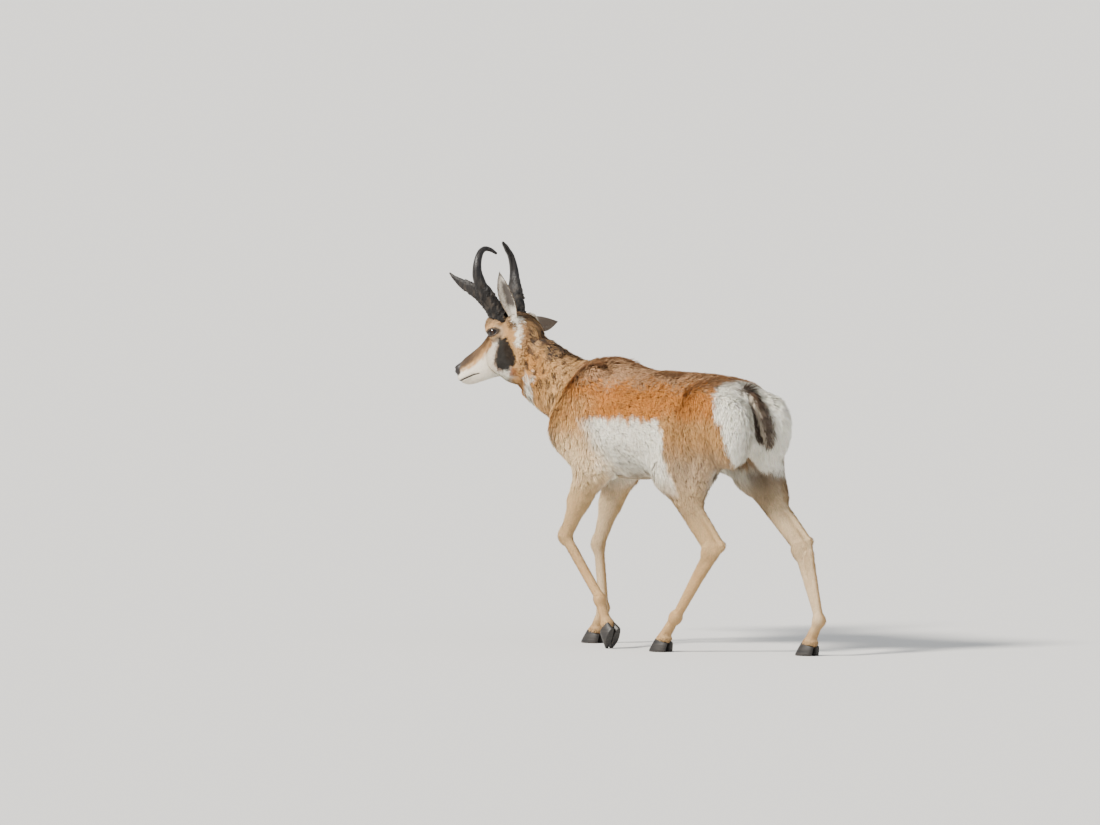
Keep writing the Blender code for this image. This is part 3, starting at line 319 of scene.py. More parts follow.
def leg_form(p, s):
    """Both legs of one side, from inside the trunk down to the coronets."""
    at = lambda name: place(*name[s])
    knee, elbow = at(KNEE), at(ELBOW)
    fetlock, coronet = at(FORE_FETLOCK), at(FORE_CORONET)
    down = (knee - elbow) / np.linalg.norm(knee - elbow)
    d = rod(p, elbow, knee, 0.050, 0.0225, 0.80)
    # muscle of the forearm, and the point of the elbow
    d = blend(d, rod(p, elbow + (0, 0.012, 0.0), elbow + down * 0.11, 0.044, 0.030, 0.85), 0.03)
    d = blend(d, rod(p, elbow + (0, 0.050, 0.004), elbow + down * 0.06, 0.024, 0.026), 0.03)
    # knee, slightly square in front
    d = blend(d, egg(p, knee + (0, -0.002, 0.006), (0.0215, 0.0215, 0.030)), 0.012)
    shin = (fetlock - knee) / np.linalg.norm(fetlock - knee)
    back = np.cross(_out, shin)
    back *= np.sign(back[1])
    d = blend(d, rod(p, knee, fetlock, 0.0165, 0.0140), 0.016)
    d = blend(d, rod(p, knee + back * 0.008 + shin * 0.01, fetlock + back * 0.008, 0.0105, 0.0105), 0.008)
    d = blend(d, egg(p, fetlock, (0.0195, 0.0195, 0.0195)), 0.014)
    d = blend(d, rod(p, fetlock, coronet, 0.0160, 0.0185), 0.014)

    stifle, hock, heel = at(STIFLE), at(HOCK), at(HEEL)
    fetlock, coronet = at(HIND_FETLOCK), at(HIND_CORONET)
    down = (hock - stifle) / np.linalg.norm(hock - stifle)
    back = np.cross(_out, down)
    back *= np.sign(back[1])
    h = rod(p, stifle, hock, 0.056, 0.0190, 0.74)
    # calf behind the shin bone, and the tendon down to the heel bone
    h = blend(h, rod(p, stifle + back * 0.050, stifle + down * 0.13 + back * 0.030, 0.044, 0.026, 0.74), 0.03)
    h = blend(h, rod(p, stifle + down * 0.11 + back * 0.032, heel, 0.0150, 0.0110), 0.012)
    # thin skin between the shin bone and the tendon
    h = blend(h, rod(p, *web_of(s), 0.028, 0.026, 0.36), 0.012)
    h = blend(h, egg(p, hock, (0.0225, 0.0260, 0.0300)), 0.014)
    h = blend(h, rod(p, hock, heel, 0.0200, 0.0125, 0.85), 0.012)
    shin = (fetlock - hock) / np.linalg.norm(fetlock - hock)
    back = np.cross(_out, shin)
    back *= np.sign(back[1])
    h = blend(h, rod(p, hock, fetlock, 0.0180, 0.0135), 0.018)
    h = blend(h, rod(p, heel + shin * 0.035 - back * 0.008, fetlock + back * 0.007, 0.0115, 0.0100), 0.010)
    h = blend(h, egg(p, fetlock, (0.0200, 0.0205, 0.0205)), 0.014)
    h = blend(h, rod(p, fetlock, coronet, 0.0165, 0.0190), 0.014)
    return d, h


def body_form(p):
    """Below zero inside the animal out to the tips of its coat, horns and ears left off."""
    d = blend(trunk_form(p), neck_form(p), 0.055)
    d = blend(d, head_form(p), 0.030)
    for s in (1, -1):
        fore, hind = leg_form(p, s)
        d = blend(d, fore, 0.030)
        d = blend(d, hind, 0.030)
    return d


def slope_of(form, p, step=0.0012):
    g = np.empty_like(p)
    for i in range(3):
        e = np.zeros(3)
        e[i] = step
        g[:, i] = (form(p + e) - form(p - e)) / (2 * step)
    return g


def settle(form, p, rounds=4, most=0.006):
    """Moves points onto the form's surface."""
    for _ in range(rounds):
        g = slope_of(form, p)
        n2 = np.maximum((g * g).sum(1), 0.05)
        move = -(form(p) / n2)[:, None] * g
        length = np.sqrt((move * move).sum(1))[:, None]
        p = p + move * np.minimum(1.0, most / np.maximum(length, 1e-9))
    return p


# ---------------------------------------------------------------- horns, ears, tail and hooves
HORN_CORE = (
    # along, out, up from the middle of the head, fore-aft and sideways half sizes
    (-0.013, 0.050, 0.038, 0.0300, 0.0185),
    (-0.006, 0.055, 0.052, 0.0300, 0.0185),
    (0.006, 0.065, 0.078, 0.0305, 0.0180),
    (0.018, 0.077, 0.104, 0.0300, 0.0170),
    (0.027, 0.088, 0.130, 0.0215, 0.0155),
    (0.034, 0.0955, 0.156, 0.0160, 0.0140),
    (0.0385, 0.0985, 0.182, 0.0130, 0.0120),
    (0.0410, 0.0945, 0.206, 0.0108, 0.0102),
    (0.0425, 0.0850, 0.227, 0.0092, 0.0088),
    (0.0440, 0.0700, 0.2435, 0.0078, 0.0074),
)
HORN_TIP = {
    1: ((0.0410, 0.0540, 0.2510, 0.0062, 0.0060), (0.0300, 0.0390, 0.2470, 0.0046, 0.0044),
        (0.0185, 0.0290, 0.2370, 0.0022, 0.0022)),
    -1: ((0.0440, 0.0560, 0.2540, 0.0062, 0.0060), (0.0425, 0.0460, 0.2605, 0.0044, 0.0042),
         (0.0405, 0.0385, 0.2665, 0.0020, 0.0020)),
}
# the prong: where its spine runs from the beam to the tip, and how deep and thick it is
PRONG = {
    1: ((0.020, 0.080, 0.112, 0.026, 0.0135), (0.052, 0.082, 0.122, 0.023, 0.0105),
        (0.085, 0.081, 0.133, 0.0175, 0.0080), (0.118, 0.079, 0.147, 0.0115, 0.0058),
        (0.142, 0.077, 0.161, 0.0065, 0.0040), (0.158, 0.076, 0.174, 0.0022, 0.0020)),
    -1: ((0.018, 0.080, 0.106, 0.026, 0.0135), (0.046, 0.088, 0.112, 0.021, 0.0105),
         (0.070, 0.097, 0.119, 0.0150, 0.0078), (0.088, 0.105, 0.126, 0.0090, 0.0052),
         (0.100, 0.111, 0.133, 0.0026, 0.0022)),
}


HORN_SPREAD = {1: 1.0, -1: 0.93}   # the right horn stands a little closer in


def horn_path(s):
    k = HORN_SPREAD[s]
    core = tuple((a, o * k, u, deep * k, wide) for a, o, u, deep, wide in HORN_CORE)
    return core + HORN_TIP[s]


def tube(bm, centres, us, vs, ru, rv, sides, twist=0.0):
    """A closed tube through rings: centre, two directions and two half sizes each."""
    rings = []
    for c, u, v, a, b in zip(centres, us, vs, ru, rv):
        ring = []
        for k in range(sides):
            w = 2 * np.pi * k / sides + twist
            ring.append(bm.verts.new(c + u * a * np.cos(w) + v * b * np.sin(w)))
        rings.append(ring)
    for r0, r1 in zip(rings, rings[1:]):
        for k in range(sides):
            j = (k + 1) % sides
            bm.faces.new((r0[k], r0[j], r1[j], r1[k]))
    bm.faces.new(rings[0][::-1])
    bm.faces.new(rings[-1])
    return rings


EAR_ROOT = {1: (-0.060, 0.047, 0.030), -1: (-0.060, 0.046, 0.026)}   # along, out, up, level
EAR_DIRECTION = {1: (-0.15, 0.30, 0.94), -1: (0.20, 0.96, 0.02)}
EAR_BEND = {1: (0.040, 0.010, 0.000), -1: (-0.010, 0.000, -0.014)}
EAR_FACING = {1: (-0.05, 0.92, -0.30), -1: (0.80, -0.10, -0.55)}


def ear_frame(s):
    a, o, u = EAR_DIRECTION[s]
    along = LEVEL @ np.array([s * o, a, u])
    along /= np.linalg.norm(along)
    a, o, u = EAR_FACING[s]
    face = LEVEL @ np.array([s * o, a, u])
    face -= along * (face @ along)
    face /= np.linalg.norm(face)
    return along, face, np.cross(along, face)


TAIL = (
    # f, l, z, half width, half thickness
    (-0.420, 0.000, 0.792, 0.026, 0.018),
    (-0.450, -0.002, 0.770, 0.025, 0.018),
    (-0.471, -0.006, 0.738, 0.024, 0.017),
    (-0.482, -0.011, 0.704, 0.023, 0.016),
    (-0.487, -0.015, 0.672, 0.020, 0.014),
    (-0.490, -0.018, 0.650, 0.014, 0.010),
    (-0.491, -0.019, 0.636, 0.005, 0.004),
)


def hoof_outline(side, grow, lean, sides=10):
    """One toe of a cloven hoof, seen from above: flat inside, rounded outside, pointed ahead.

    Returns points (ahead, out). side is +1 for the outer toe and -1 for the inner one.
    """
    length, width = HOOF_LENGTH * grow, 0.0258 * grow
    points = []
    for k in range(sides):
        w = 2 * np.pi * (k + 0.5) / sides
        x, y = np.cos(w), np.sin(w)
        ahead = x * 0.5 * length + lean
        taper = 1.0 - 0.50 * max(0.0, x) ** 2.2
        out = (0.5 + 0.5 * y) * width * taper if y > 0 else 0.5 * width * taper * (1 + y)
        points.append((ahead, side * (0.0016 + max(out, 0.0))))
    return points


# ---------------------------------------------------------------- small helpers
EAR_HALF = curve(
    (0.0, 0.48), (0.12, 0.56), (0.30, 0.86), (0.48, 1.0), (0.66, 0.88), (0.82, 0.58),
    (0.93, 0.28), (1.0, 0.05),
)


def ramp(x, a, b):
    """0 up to a, 1 from b on, smooth between."""
    t = np.clip((x - a) / (b - a), 0.0, 1.0)
    return t * t * (3 - 2 * t)


def bump_at(x, at, wide):
    return np.exp(-(((x - at) / wide) ** 2))


def mix(a, b, k):
    return a + (b - a) * k


def tint(a, b, k):
    """Colours a turned into colour b by k, one k for each row."""
    return a + (np.asarray(b, float) - a) * np.clip(k, 0.0, 1.0)[:, None]


def waves(p, size, seed, count=9):
    """A smooth random pattern, about -1 to 1, with features some size across."""
    rng = np.random.default_rng(seed)
    k = rng.normal(size=(count, 3))
    k *= (2 * np.pi / size * rng.uniform(0.55, 1.45, count) / np.linalg.norm(k, axis=1))[:, None]
    phase = rng.uniform(0, 2 * np.pi, count)
    return np.sin(p @ k.T + phase).sum(1) / np.sqrt(count / 2) / 1.5


def body_of(p):
    return ORIGIN_F - p[:, 1], p[:, 0] + ORIGIN_L, p[:, 2]


def unit_rows(v):
    return v / np.maximum(np.linalg.norm(v, axis=1), 1e-9)[:, None]


# ---------------------------------------------------------------- the skin's form
def tail_form(p):
    rows = smooth_rows(TAIL, 8)
    d = np.full(len(p), 9.0)
    for a, b in zip(rows, rows[1:]):
        ra, rb = 0.55 * (a[3] + a[4]), 0.55 * (b[3] + b[4])
        d = blend(d, rod(p, place(*a[:3]), place(*b[:3]), ra, rb, 0.85, np.array([0.0, 1.0, 0.0])), 0.006)
    return d


def coat_depth(p):
    """How far the skin lies below the tips of the coat."""
    f, l, z = body_of(p)
    q = in_head(p)
    along, up = q[:, 1], q[:, 2]
    d = 0.0120 + 0.003 * ramp(z, 0.78, 0.87)
    d = mix(d, 0.0165, ramp(f, 0.22, 0.36))
    d = mix(d, 0.0215, ramp(-f, 0.385, 0.435) * ramp(z, 0.56, 0.63))
    d = mix(d, 0.0090, 1 - ramp(z, 0.52, 0.60))
    d = mix(d, 0.0045, 1 - ramp(z, 0.38, 0.52))
    d = mix(d, 0.0026, 1 - ramp(z, 0.20, 0.34))
    border = along - 0.6 * np.clip(-up - 0.02, 0.0, 0.15)
    head = ramp(border, -0.150, -0.095) * ramp(up, -0.185, -0.140) * ramp(z, 0.70, 0.78)
    d = mix(d, 0.0030, head)
    d = mix(d, 0.0013, ramp(along, 0.02, 0.12) * ramp(z, 0.70, 0.78))
    return d


def tuft_depth(p):
    """The same at the roots, where the tail's own coat is thinner than the rump's beside it."""
    return np.where((tail_form(p) < 0.0) & (ORIGIN_F - p[:, 1] < -0.43), 0.007, coat_depth(p))


def skin_form(p):
    tail = tail_form(p)
    body = body_form(p)
    for s in (1, -1):
        hock, heel, fetlock = place(*HOCK[s]), place(*HEEL[s]), place(*HIND_FETLOCK[s])
        shin = (fetlock - hock) / np.linalg.norm(fetlock - hock)
        body = blend(body, rod(p, (hock + heel) / 2 + shin * 0.030, fetlock + (0, 0.002, 0), 0.0155, 0.0120, 0.85), 0.008)
        body = blend(body, rod(p, heel, (hock * 0.6 + heel * 0.4) + shin * 0.10, 0.0125, 0.0125, 0.90), 0.008)
        for at, lifted in ((FORE_CORONET[s], s > 0), (HIND_CORONET[s], False)):
            ankle = place(*at) + ((0, 0.004, 0.002) if lifted else (0, -0.001, -0.006))
            body = blend(body, egg(p, ankle, (0.0215, 0.0215, 0.0200) if lifted else (0.0225, 0.0265, 0.0120)), 0.012)
        knee, fore = place(*KNEE[s]), place(*FORE_FETLOCK[s])
        body = blend(body, rod(p, knee + (0, 0.005, -0.01), fore + (0, 0.005, 0), 0.0145, 0.0125, 0.90), 0.008)
    return blend(body + coat_depth(p), tail + 0.007, 0.012)


def eye_spot(p, s):
    """1 on the edge of the lids' opening, less inside it. The opening slants down towards the nose."""
    a, o, u = EYE_AT
    q = in_head(p)
    along, up = q[:, 1] - a, q[:, 2] - u
    tip = np.radians(8.0)
    x = along * np.cos(tip) + up * np.sin(tip)
    y = up * np.cos(tip) - along * np.sin(tip)
    high = np.where(y > 0, 0.0090, 0.0080)
    return np.sqrt((x / 0.0172) ** 2 + (y / high) ** 2), q[:, 0] * s


def lid_opening(p, s):
    """The almond between the eyelids, as a form that goes through them."""
    r, out = eye_spot(p, s)
    return np.maximum((r - 1.0) * 0.0075, 0.004 - out)


def face_form(p):
    """The skin of the head, with lids, nostrils and the line of the mouth."""
    d = skin_form(p)
    q = in_head(p)
    for s in (1, -1):
        out, along, up = s * q[:, 0], q[:, 1], q[:, 2]
        side = lambda a, o, u: from_head(a, s * o, u)
        eye = side(*EYE_AT)
        # hollow in front of and below the eye, then the lids over the ball
        d = carve(d, egg(p, side(0.038, 0.066, -0.006), (0.0120, 0.0200, 0.0120), HEAD), 0.014)
        d = blend(d, egg(p, eye, np.full(3, EYE_RADIUS + 0.0021)), 0.010)
        # brow ridge over the eye
        d = blend(d, rod(p, side(0.020, 0.060, 0.0140), side(-0.020, 0.064, 0.0175), 0.0062, 0.0075), 0.010)
        d = carve(d, lid_opening(p, s), 0.0016)
        # corner of the eye towards the nose
        d = carve(d, rod(p, side(0.021, 0.071, -0.001), side(0.031, 0.064, -0.004), 0.0016, 0.0010), 0.003)
        # nostril: a comma that opens forward and outward
        d = carve(d, egg(p, side(0.2145, 0.0205, -0.0365), (0.0052, 0.0085, 0.0048), HEAD), 0.003)
        d = carve(d, rod(p, side(0.209, 0.0240, -0.0345), side(0.197, 0.0275, -0.0285), 0.0030, 0.0012), 0.003)
        # line of the mouth
        line = -0.0795 + 0.0035 * np.clip((along - 0.150) / 0.06, 0, 1) - 0.25 * np.clip(0.152 - along, 0, 1)
        groove = np.maximum(np.abs(up - line) - 0.0007, -d - 0.0032)
        groove = np.maximum(groove, 0.134 - along)
        d = carve(d, groove, 0.0022)
    # cleft of the upper lip
    d = carve(d, rod(p, from_head(0.224, 0, -0.045), from_head(0.219, 0, -0.075), 0.0014, 0.0014), 0.003)
    return d


# ---------------------------------------------------------------- from a form to a mesh
def net(form, low, high, h, block=4):
    """Points and quads of the form's zero surface on a grid of step h."""
    low = np.asarray(low, float)
    n = np.ceil((np.asarray(high, float) - low) / (h * block)).astype(int)
    step = h * block
    axes = [low[i] + step * np.arange(n[i] + 1) for i in range(3)]
    grid = np.stack(np.meshgrid(*axes, indexing="ij"), -1).reshape(-1, 3)
    coarse = form(grid).reshape(n + 1).astype(np.float32)
    cut = lambda i, j, k: coarse[i : n[0] + i, j : n[1] + j, k : n[2] + k]
    corners = np.stack([cut(i, j, k) for i in (0, 1) for j in (0, 1) for k in (0, 1)])
    near = (np.abs(corners).min(0) < 1.15 * step) | ((corners.min(0) < 0) & (corners.max(0) > 0))
    full = coarse[:-1, :-1, :-1]
    for axis in range(3):
        full = np.repeat(full, block, axis)
        near = np.repeat(near, block, axis)
    full = np.pad(full, ((0, 1),) * 3, mode="edge")
    mask = np.pad(near, ((0, 1),) * 3)
    for axis in range(3):
        mask |= np.roll(mask, 1, axis)
    at = np.argwhere(mask)
    values = np.concatenate([form(low + h * part) for part in np.array_split(at, max(1, len(at) // 120000))])
    full[tuple(at.T)] = values
    inside = full < 0
    m = np.array(inside.shape) - 1
    pick = lambda i, j, k: inside[i : m[0] + i, j : m[1] + j, k : m[2] + k]
    count = np.zeros(m, np.uint8)
    for i in (0, 1):
        for j in (0, 1):
            for k in (0, 1):
                count += pick(i, j, k)
    cells = np.argwhere((count > 0) & (count < 8))
    total = np.zeros((len(cells), 3))
    hits = np.zeros(len(cells))
    grad = np.zeros((len(cells), 3))
    for axis in range(3):
        e = np.eye(3, dtype=int)[axis]
        b, c = [np.eye(3, dtype=int)[(axis + r) % 3] for r in (1, 2)]
        for i in (0, 1):
            for j in (0, 1):
                a0 = cells + i * b + j * c
                a1 = a0 + e
                v0, v1 = full[tuple(a0.T)], full[tuple(a1.T)]
                grad[:, axis] += (v1 - v0) / h / 4
                cross = (v0 < 0) != (v1 < 0)
                t = np.where(cross, v0 / np.where(cross, v0 - v1, 1), 0)
                total += np.where(cross[:, None], a0 + t[:, None] * e, 0)
                hits += cross
    points = low + h * total / hits[:, None]
    index = np.full(m, -1, np.int32)
    index[tuple(cells.T)] = np.arange(len(cells))
    quads = []
    for axis in range(3):
        b, c = (axis + 1) % 3, (axis + 2) % 3
        first = [slice(None)] * 3
        last = [slice(None)] * 3
        first[axis], last[axis] = slice(0, -1), slice(1, None)
        change = inside[tuple(first)] != inside[tuple(last)]
        edge = np.argwhere(change)
        edge = edge[(edge[:, b] > 0) & (edge[:, c] > 0) & (edge[:, b] < m[b]) & (edge[:, c] < m[c])]
        eb, ec = np.eye(3, dtype=int)[b], np.eye(3, dtype=int)[c]
        ring = [index[tuple((edge - x).T)] for x in (eb * 0, eb, eb + ec, ec)]
        q = np.stack(ring, 1)
        flip = ~inside[tuple(edge.T)]
        q[flip] = q[flip][:, ::-1]
        quads.append(q)
    quads = np.concatenate(quads)
    # one step onto the true surface
    n2 = np.maximum((grad * grad).sum(1), 0.05)
    parts = np.array_split(points, max(1, len(points) // 120000))
    off = np.concatenate([form(part) for part in parts])
    move = -(off / n2)[:, None] * grad
    long = np.linalg.norm(move, axis=1)[:, None]
    points = points + move * np.minimum(1, 0.5 * h / np.maximum(long, 1e-9))
    return points, quads


def keep_faces(points, quads, keep):
    quads = quads[keep]
    used = np.unique(quads)
    index = np.full(len(points), -1)
    index[used] = np.arange(len(used))
    return points[used], index[quads]


def mesh_from(name, points, faces):
    """A mesh object from arrays. faces is one array of triangles or quads."""
    points = np.asarray(points, np.float32)
    faces = np.asarray(faces, np.int32)
    mesh = bpy.data.meshes.new(name)
    mesh.vertices.add(len(points))
    mesh.vertices.foreach_set("co", points.ravel())
    sides = faces.shape[1]
    mesh.loops.add(faces.size)
    mesh.loops.foreach_set("vertex_index", faces.ravel())
    mesh.polygons.add(len(faces))
    mesh.polygons.foreach_set("loop_start", np.arange(0, faces.size, sides, dtype=np.int32))
    mesh.polygons.foreach_set("use_smooth", np.ones(len(faces), bool))
    mesh.update(calc_edges=True)
    mesh.validate()
    obj = bpy.data.objects.new(name, mesh)
    bpy.context.scene.collection.objects.link(obj)
    return obj


def put_colours(mesh, name, colours):
    """Linear colours, one for each point."""
    rgba = np.ones((len(colours), 4), np.float32)
    rgba[:, : colours.shape[1]] = colours
    layer = mesh.color_attributes.new(name, "FLOAT_COLOR", "POINT")
    layer.data.foreach_set("color", rgba.ravel())


def put_value(mesh, name, values):
    layer = mesh.attributes.new(name, "FLOAT", "POINT")
    layer.data.foreach_set("value", np.asarray(values, np.float32))


def points_of(mesh):
    p = np.empty(len(mesh.vertices) * 3, np.float32)
    mesh.vertices.foreach_get("co", p)
    return p.reshape(-1, 3).astype(float)


def vertex_normals(points, quads):
    a, b, c, d = (points[quads[:, i]] for i in range(4))
    flat = np.cross(c - a, d - b)
    n = np.zeros_like(points)
    for i in range(4):
        np.add.at(n, quads[:, i], flat)
    return unit_rows(n)


# ---------------------------------------------------------------- markings
WHITE = (0.860, 0.825, 0.725)
CREAM = (0.760, 0.620, 0.420)
BUFF = (0.660, 0.450, 0.210)
TAN = (0.560, 0.310, 0.105)
SADDLE = (0.500, 0.200, 0.040)
RUST = (0.360, 0.120, 0.022)
GREYTOP = (0.430, 0.262, 0.140)
UMBER = (0.085, 0.048, 0.026)
BLACK = (0.007, 0.005, 0.004)
NOSE = (0.022, 0.018, 0.017)


def neck_place(f, z):
    f, z = f - NECK_ROOT[0], z - NECK_ROOT[1]
    return f * np.cos(NECK_RISE) + z * np.sin(NECK_RISE), z * np.cos(NECK_RISE) - f * np.sin(NECK_RISE)


PANEL_REAR = curve((0.50, -0.262), (0.537, -0.243), (0.591, -0.226), (0.618, -0.206), (0.668, -0.176), (0.72, -0.158))
PANEL_FRONT = curve((0.50, 0.050), (0.542, 0.080), (0.597, 0.112), (0.657, 0.150), (0.700, 0.176), (0.72, 0.180))
RUMP_EDGE = curve((0.52, -0.440), (0.570, -0.462), (0.611, -0.462), (0.666, -0.450), (0.718, -0.434), (0.771, -0.402), (0.811, -0.362), (0.860, -0.345))


def body_colours(p, n):
    """The coat's colours on trunk, neck, tail and legs, at points p with outward normals n."""
    f, l, z = body_of(p)
    w = np.abs(l)
    rough = 0.006 * waves(p, 0.045, 11) + 0.006 * waves(p, 0.016, 12)
    fine = waves(p, 0.010, 13)
    fr, zr = f + rough, z + rough * 0.8
    c = np.tile(np.array(TAN), (len(p), 1))
    # orange saddle, stronger towards its lower edge, grey-brown over the spine
    saddle = ramp(zr, 0.700, 0.722) * ramp(fr, -0.50, -0.40) * (1 - ramp(fr, 0.20, 0.32))
    c = tint(c, SADDLE, saddle)
    c = tint(c, RUST, 0.55 * bump_at(zr, 0.800, 0.018) * bump_at(fr, 0.09, 0.07))
    c = tint(c, BUFF, 0.40 * ramp(fr, 0.10, 0.20) * (1 - ramp(zr, 0.76, 0.80)) * saddle)
    top = ramp(zr + 0.02 * fine, 0.800, 0.836) * ramp(fr, -0.44, -0.36) * (1 - ramp(fr, 0.26, 0.33))
    c = tint(c, GREYTOP, 0.90 * top)
    c = tint(c, (0.30, 0.17, 0.09), 0.35 * top * ramp(fine, 0.1, 0.9))
    # haunch: orange above, tan, then grey-buff mottle towards the stifle
    haunch = (1 - ramp(fr, PANEL_REAR(z) - 0.012, PANEL_REAR(z) + 0.010)) * (1 - ramp(zr, 0.70, 0.76))
    c = tint(c, (0.49, 0.270, 0.100), haunch)
    c = tint(c, (0.43, 0.32, 0.205), haunch * (1 - ramp(zr, 0.56, 0.68)) * 0.85)
    mottle = ramp(waves(p * (1, 1.5, 0.8), 0.022, 21) + 0.5 * fine, 0.35, 1.1)
    c = tint(c, (0.17, 0.11, 0.07), 0.70 * mottle * haunch * bump_at(z, 0.60, 0.06) * bump_at(f, -0.34, 0.08))
    streak = ramp(waves(p * (0.7, 1.0, 0.6), 0.026, 23) + 0.35 * fine, 0.55, 1.25)
    c = tint(c, (0.27, 0.110, 0.030), 0.42 * streak * ramp(zr, 0.60, 0.68) * (1 - ramp(zr, 0.80, 0.84)))
    # white flank panel and belly
    rear = ramp(fr, PANEL_REAR(z) - 0.008, PANEL_REAR(z) + 0.012)
    front = 1 - ramp(fr, PANEL_FRONT(z) - 0.060, PANEL_FRONT(z) + 0.035)
    panel = rear * front * (1 - ramp(zr, 0.700, 0.722)) * ramp(z, 0.40, 0.48)
    belly = (1 - ramp(zr, 0.545, 0.590)) * ramp(z, 0.46, 0.50) * (1 - ramp(w, 0.085, 0.125)) * ramp(f, -0.42, -0.36)
    pale = (1 - ramp(zr, 0.62, 0.72)) * ramp(fr, PANEL_FRONT(z) - 0.09, PANEL_FRONT(z))
    pale = pale * (1 - ramp(f, 0.40, 0.46)) * ramp(z, 0.40, 0.47)
    c = tint(c, (0.74, 0.57, 0.345), 0.85 * pale)
    c = tint(c, CREAM, 0.5 * pale * (1 - ramp(zr, 0.55, 0.64)))
    c = tint(c, WHITE, np.maximum(panel, belly) * 0.97)
    # white rump with the dark line over the spine into the tail
    edge = RUMP_EDGE(z)
    rump = (1 - ramp(fr, edge - 0.008, edge + 0.012)) * ramp(z + 0.4 * rough, 0.535, 0.565)
    inner = (1 - ramp(w, 0.050, 0.075)) * (1 - ramp(f, -0.42, -0.38)) * ramp(z, 0.52, 0.56)
    rump = np.maximum(rump, inner * ramp(z, 0.54, 0.58))
    c = tint(c, WHITE, rump)
    c = tint(c, (0.30, 0.26, 0.22), 0.50 * rump * bump_at(fr, edge, 0.030) * ramp(z, 0.72, 0.80) * ramp(fine, -0.2, 0.8))
    spine = (1 - ramp(w + 0.5 * np.abs(rough), 0.022, 0.042)) * ramp(z, 0.745, 0.79)
    c = tint(c, UMBER, 0.92 * spine * (1 - ramp(fr, -0.405, -0.380)))
    # darker grey-brown between and behind the thighs, partly the hair's own tone and partly painted shade
    groin_tone_and_shade = ramp(z, 0.41, 0.47) * (1 - ramp(z, 0.545, 0.575)) * (1 - ramp(w, 0.08, 0.115)) * (1 - ramp(f, -0.37, -0.33))
    c = tint(c, (0.20, 0.150, 0.105), 0.8 * groin_tone_and_shade)
    # neck: warm tan, browner towards the nape
    along, up = neck_place(f, z)
    neck = ramp(f, 0.27, 0.36) * ramp(z, 0.60, 0.66)
    warm = tint(np.tile(np.array((0.57, 0.340, 0.140)), (len(p), 1)), (0.50, 0.240, 0.065), ramp(along, 0.16, 0.30) * (1 - ramp(np.abs(up), 0.03, 0.09)))
    warm = tint(warm, (0.42, 0.245, 0.105), ramp(up, 0.02, 0.08))
    c = c + (warm - c) * neck[:, None]
    breast = ramp(fr, 0.25, 0.33) * (1 - ramp(zr, 0.64, 0.72)) * ramp(z, 0.50, 0.55)
    c = tint(c, (0.70, 0.51, 0.28), 0.8 * breast)
    ribbon = rough * 0.9 + 0.006 * waves(p, 0.02, 31)
    throat = bump_at(along + ribbon, 0.290 - 0.16 * np.clip(-up - 0.04, 0, 0.10), 0.013 + 0.20 * np.clip(-up - 0.02, 0, 0.10))
    throat = ramp(throat, 0.25, 0.70) * ramp(-up + ribbon, 0.006, 0.040) * (z > 0.65)
    c = tint(c, WHITE, throat)
    low = ramp(-up + ribbon, 0.098, 0.118) * ramp(along, 0.02, 0.08) * (1 - ramp(along, 0.20, 0.235)) * (z > 0.60)
    c = tint(c, (0.68, 0.58, 0.44), 0.85 * low)
    mane = ramp(up + rough, 0.052, 0.074) * ramp(along, 0.215, 0.250) * (1 - ramp(along, 0.365, 0.40)) * (z > 0.8)
    mane = np.maximum(mane, 0.60 * (1 - ramp(w, 0.010, 0.026)) * ramp(up, 0.06, 0.08) * ramp(along, 0.08, 0.16) * (z > 0.8))
    c = tint(c, (0.045, 0.030, 0.022), mane * ramp(fine + 0.8 * waves(p, 0.018, 33), -1.1, 0.1))
    # streaks of shadow where the neck and shoulder hair parts
    part = ramp(waves(p * (0.6, 1.0, 0.50), 0.017, 35) + 0.3 * fine, 0.42, 0.90)
    where = np.maximum(neck * ramp(up, -0.10, -0.02), 0.35 * bump_at(f, 0.27, 0.06) * ramp(z, 0.68, 0.72))
    c = tint(c, (0.080, 0.040, 0.018), 0.92 * part * where)
    # legs: buff outside, paler inside, a shade browner below the knee and hock
    leg = 1 - ramp(z, 0.46, 0.56)
    inner = ramp(-np.sign(l) * n[:, 0], 0.1, 0.7)
    tone = tint(np.tile(np.array((0.60, 0.415, 0.215)), (len(p), 1)), (0.53, 0.340, 0.160), 1 - ramp(z, 0.22, 0.36))
    tone = tint(tone, (0.44, 0.31, 0.180), ramp(-f, 0.15, 0.20) * ramp(z, 0.36, 0.46) * 0.7)
    tone = tint(tone, (0.68, 0.55, 0.37), 0.60 * inner * ramp(z, 0.05, 0.12))
    tone = tint(tone, (0.33, 0.20, 0.10), 0.35 * (1 - ramp(z, 0.05, 0.085)))
    tone = tint(tone, (0.38, 0.24, 0.13), 0.35 * ramp(-n[:, 1], 0.2, 0.9) * (1 - ramp(z, 0.30, 0.42)))
    c = c + (tone - c) * leg[:, None]
    # tail
    rows = smooth_rows(TAIL, 8)
    near = np.full(len(p), 9.0)
    for a in rows[1:]:
        near = np.minimum(near, np.linalg.norm(p - place(*a[:3]), axis=1) - a[3])
    tail = (1 - ramp(near, 0.003, 0.008)) * (f < -0.43)
    c = tint(c, (0.080, 0.048, 0.028), 0.95 * tail)
    c = tint(c, (0.58, 0.50, 0.40), 0.85 * tail * ramp(np.abs(n[:, 0]) + 0.12 * fine, 0.62, 0.92))
    return c


def nose_pad(along, up):
    """1 on the black skin round the nostrils."""
    return ramp(along + 0.35 * np.clip(up + 0.045, -0.03, 0.03), 0.1885, 0.1960) * ramp(up, -0.063, -0.056)


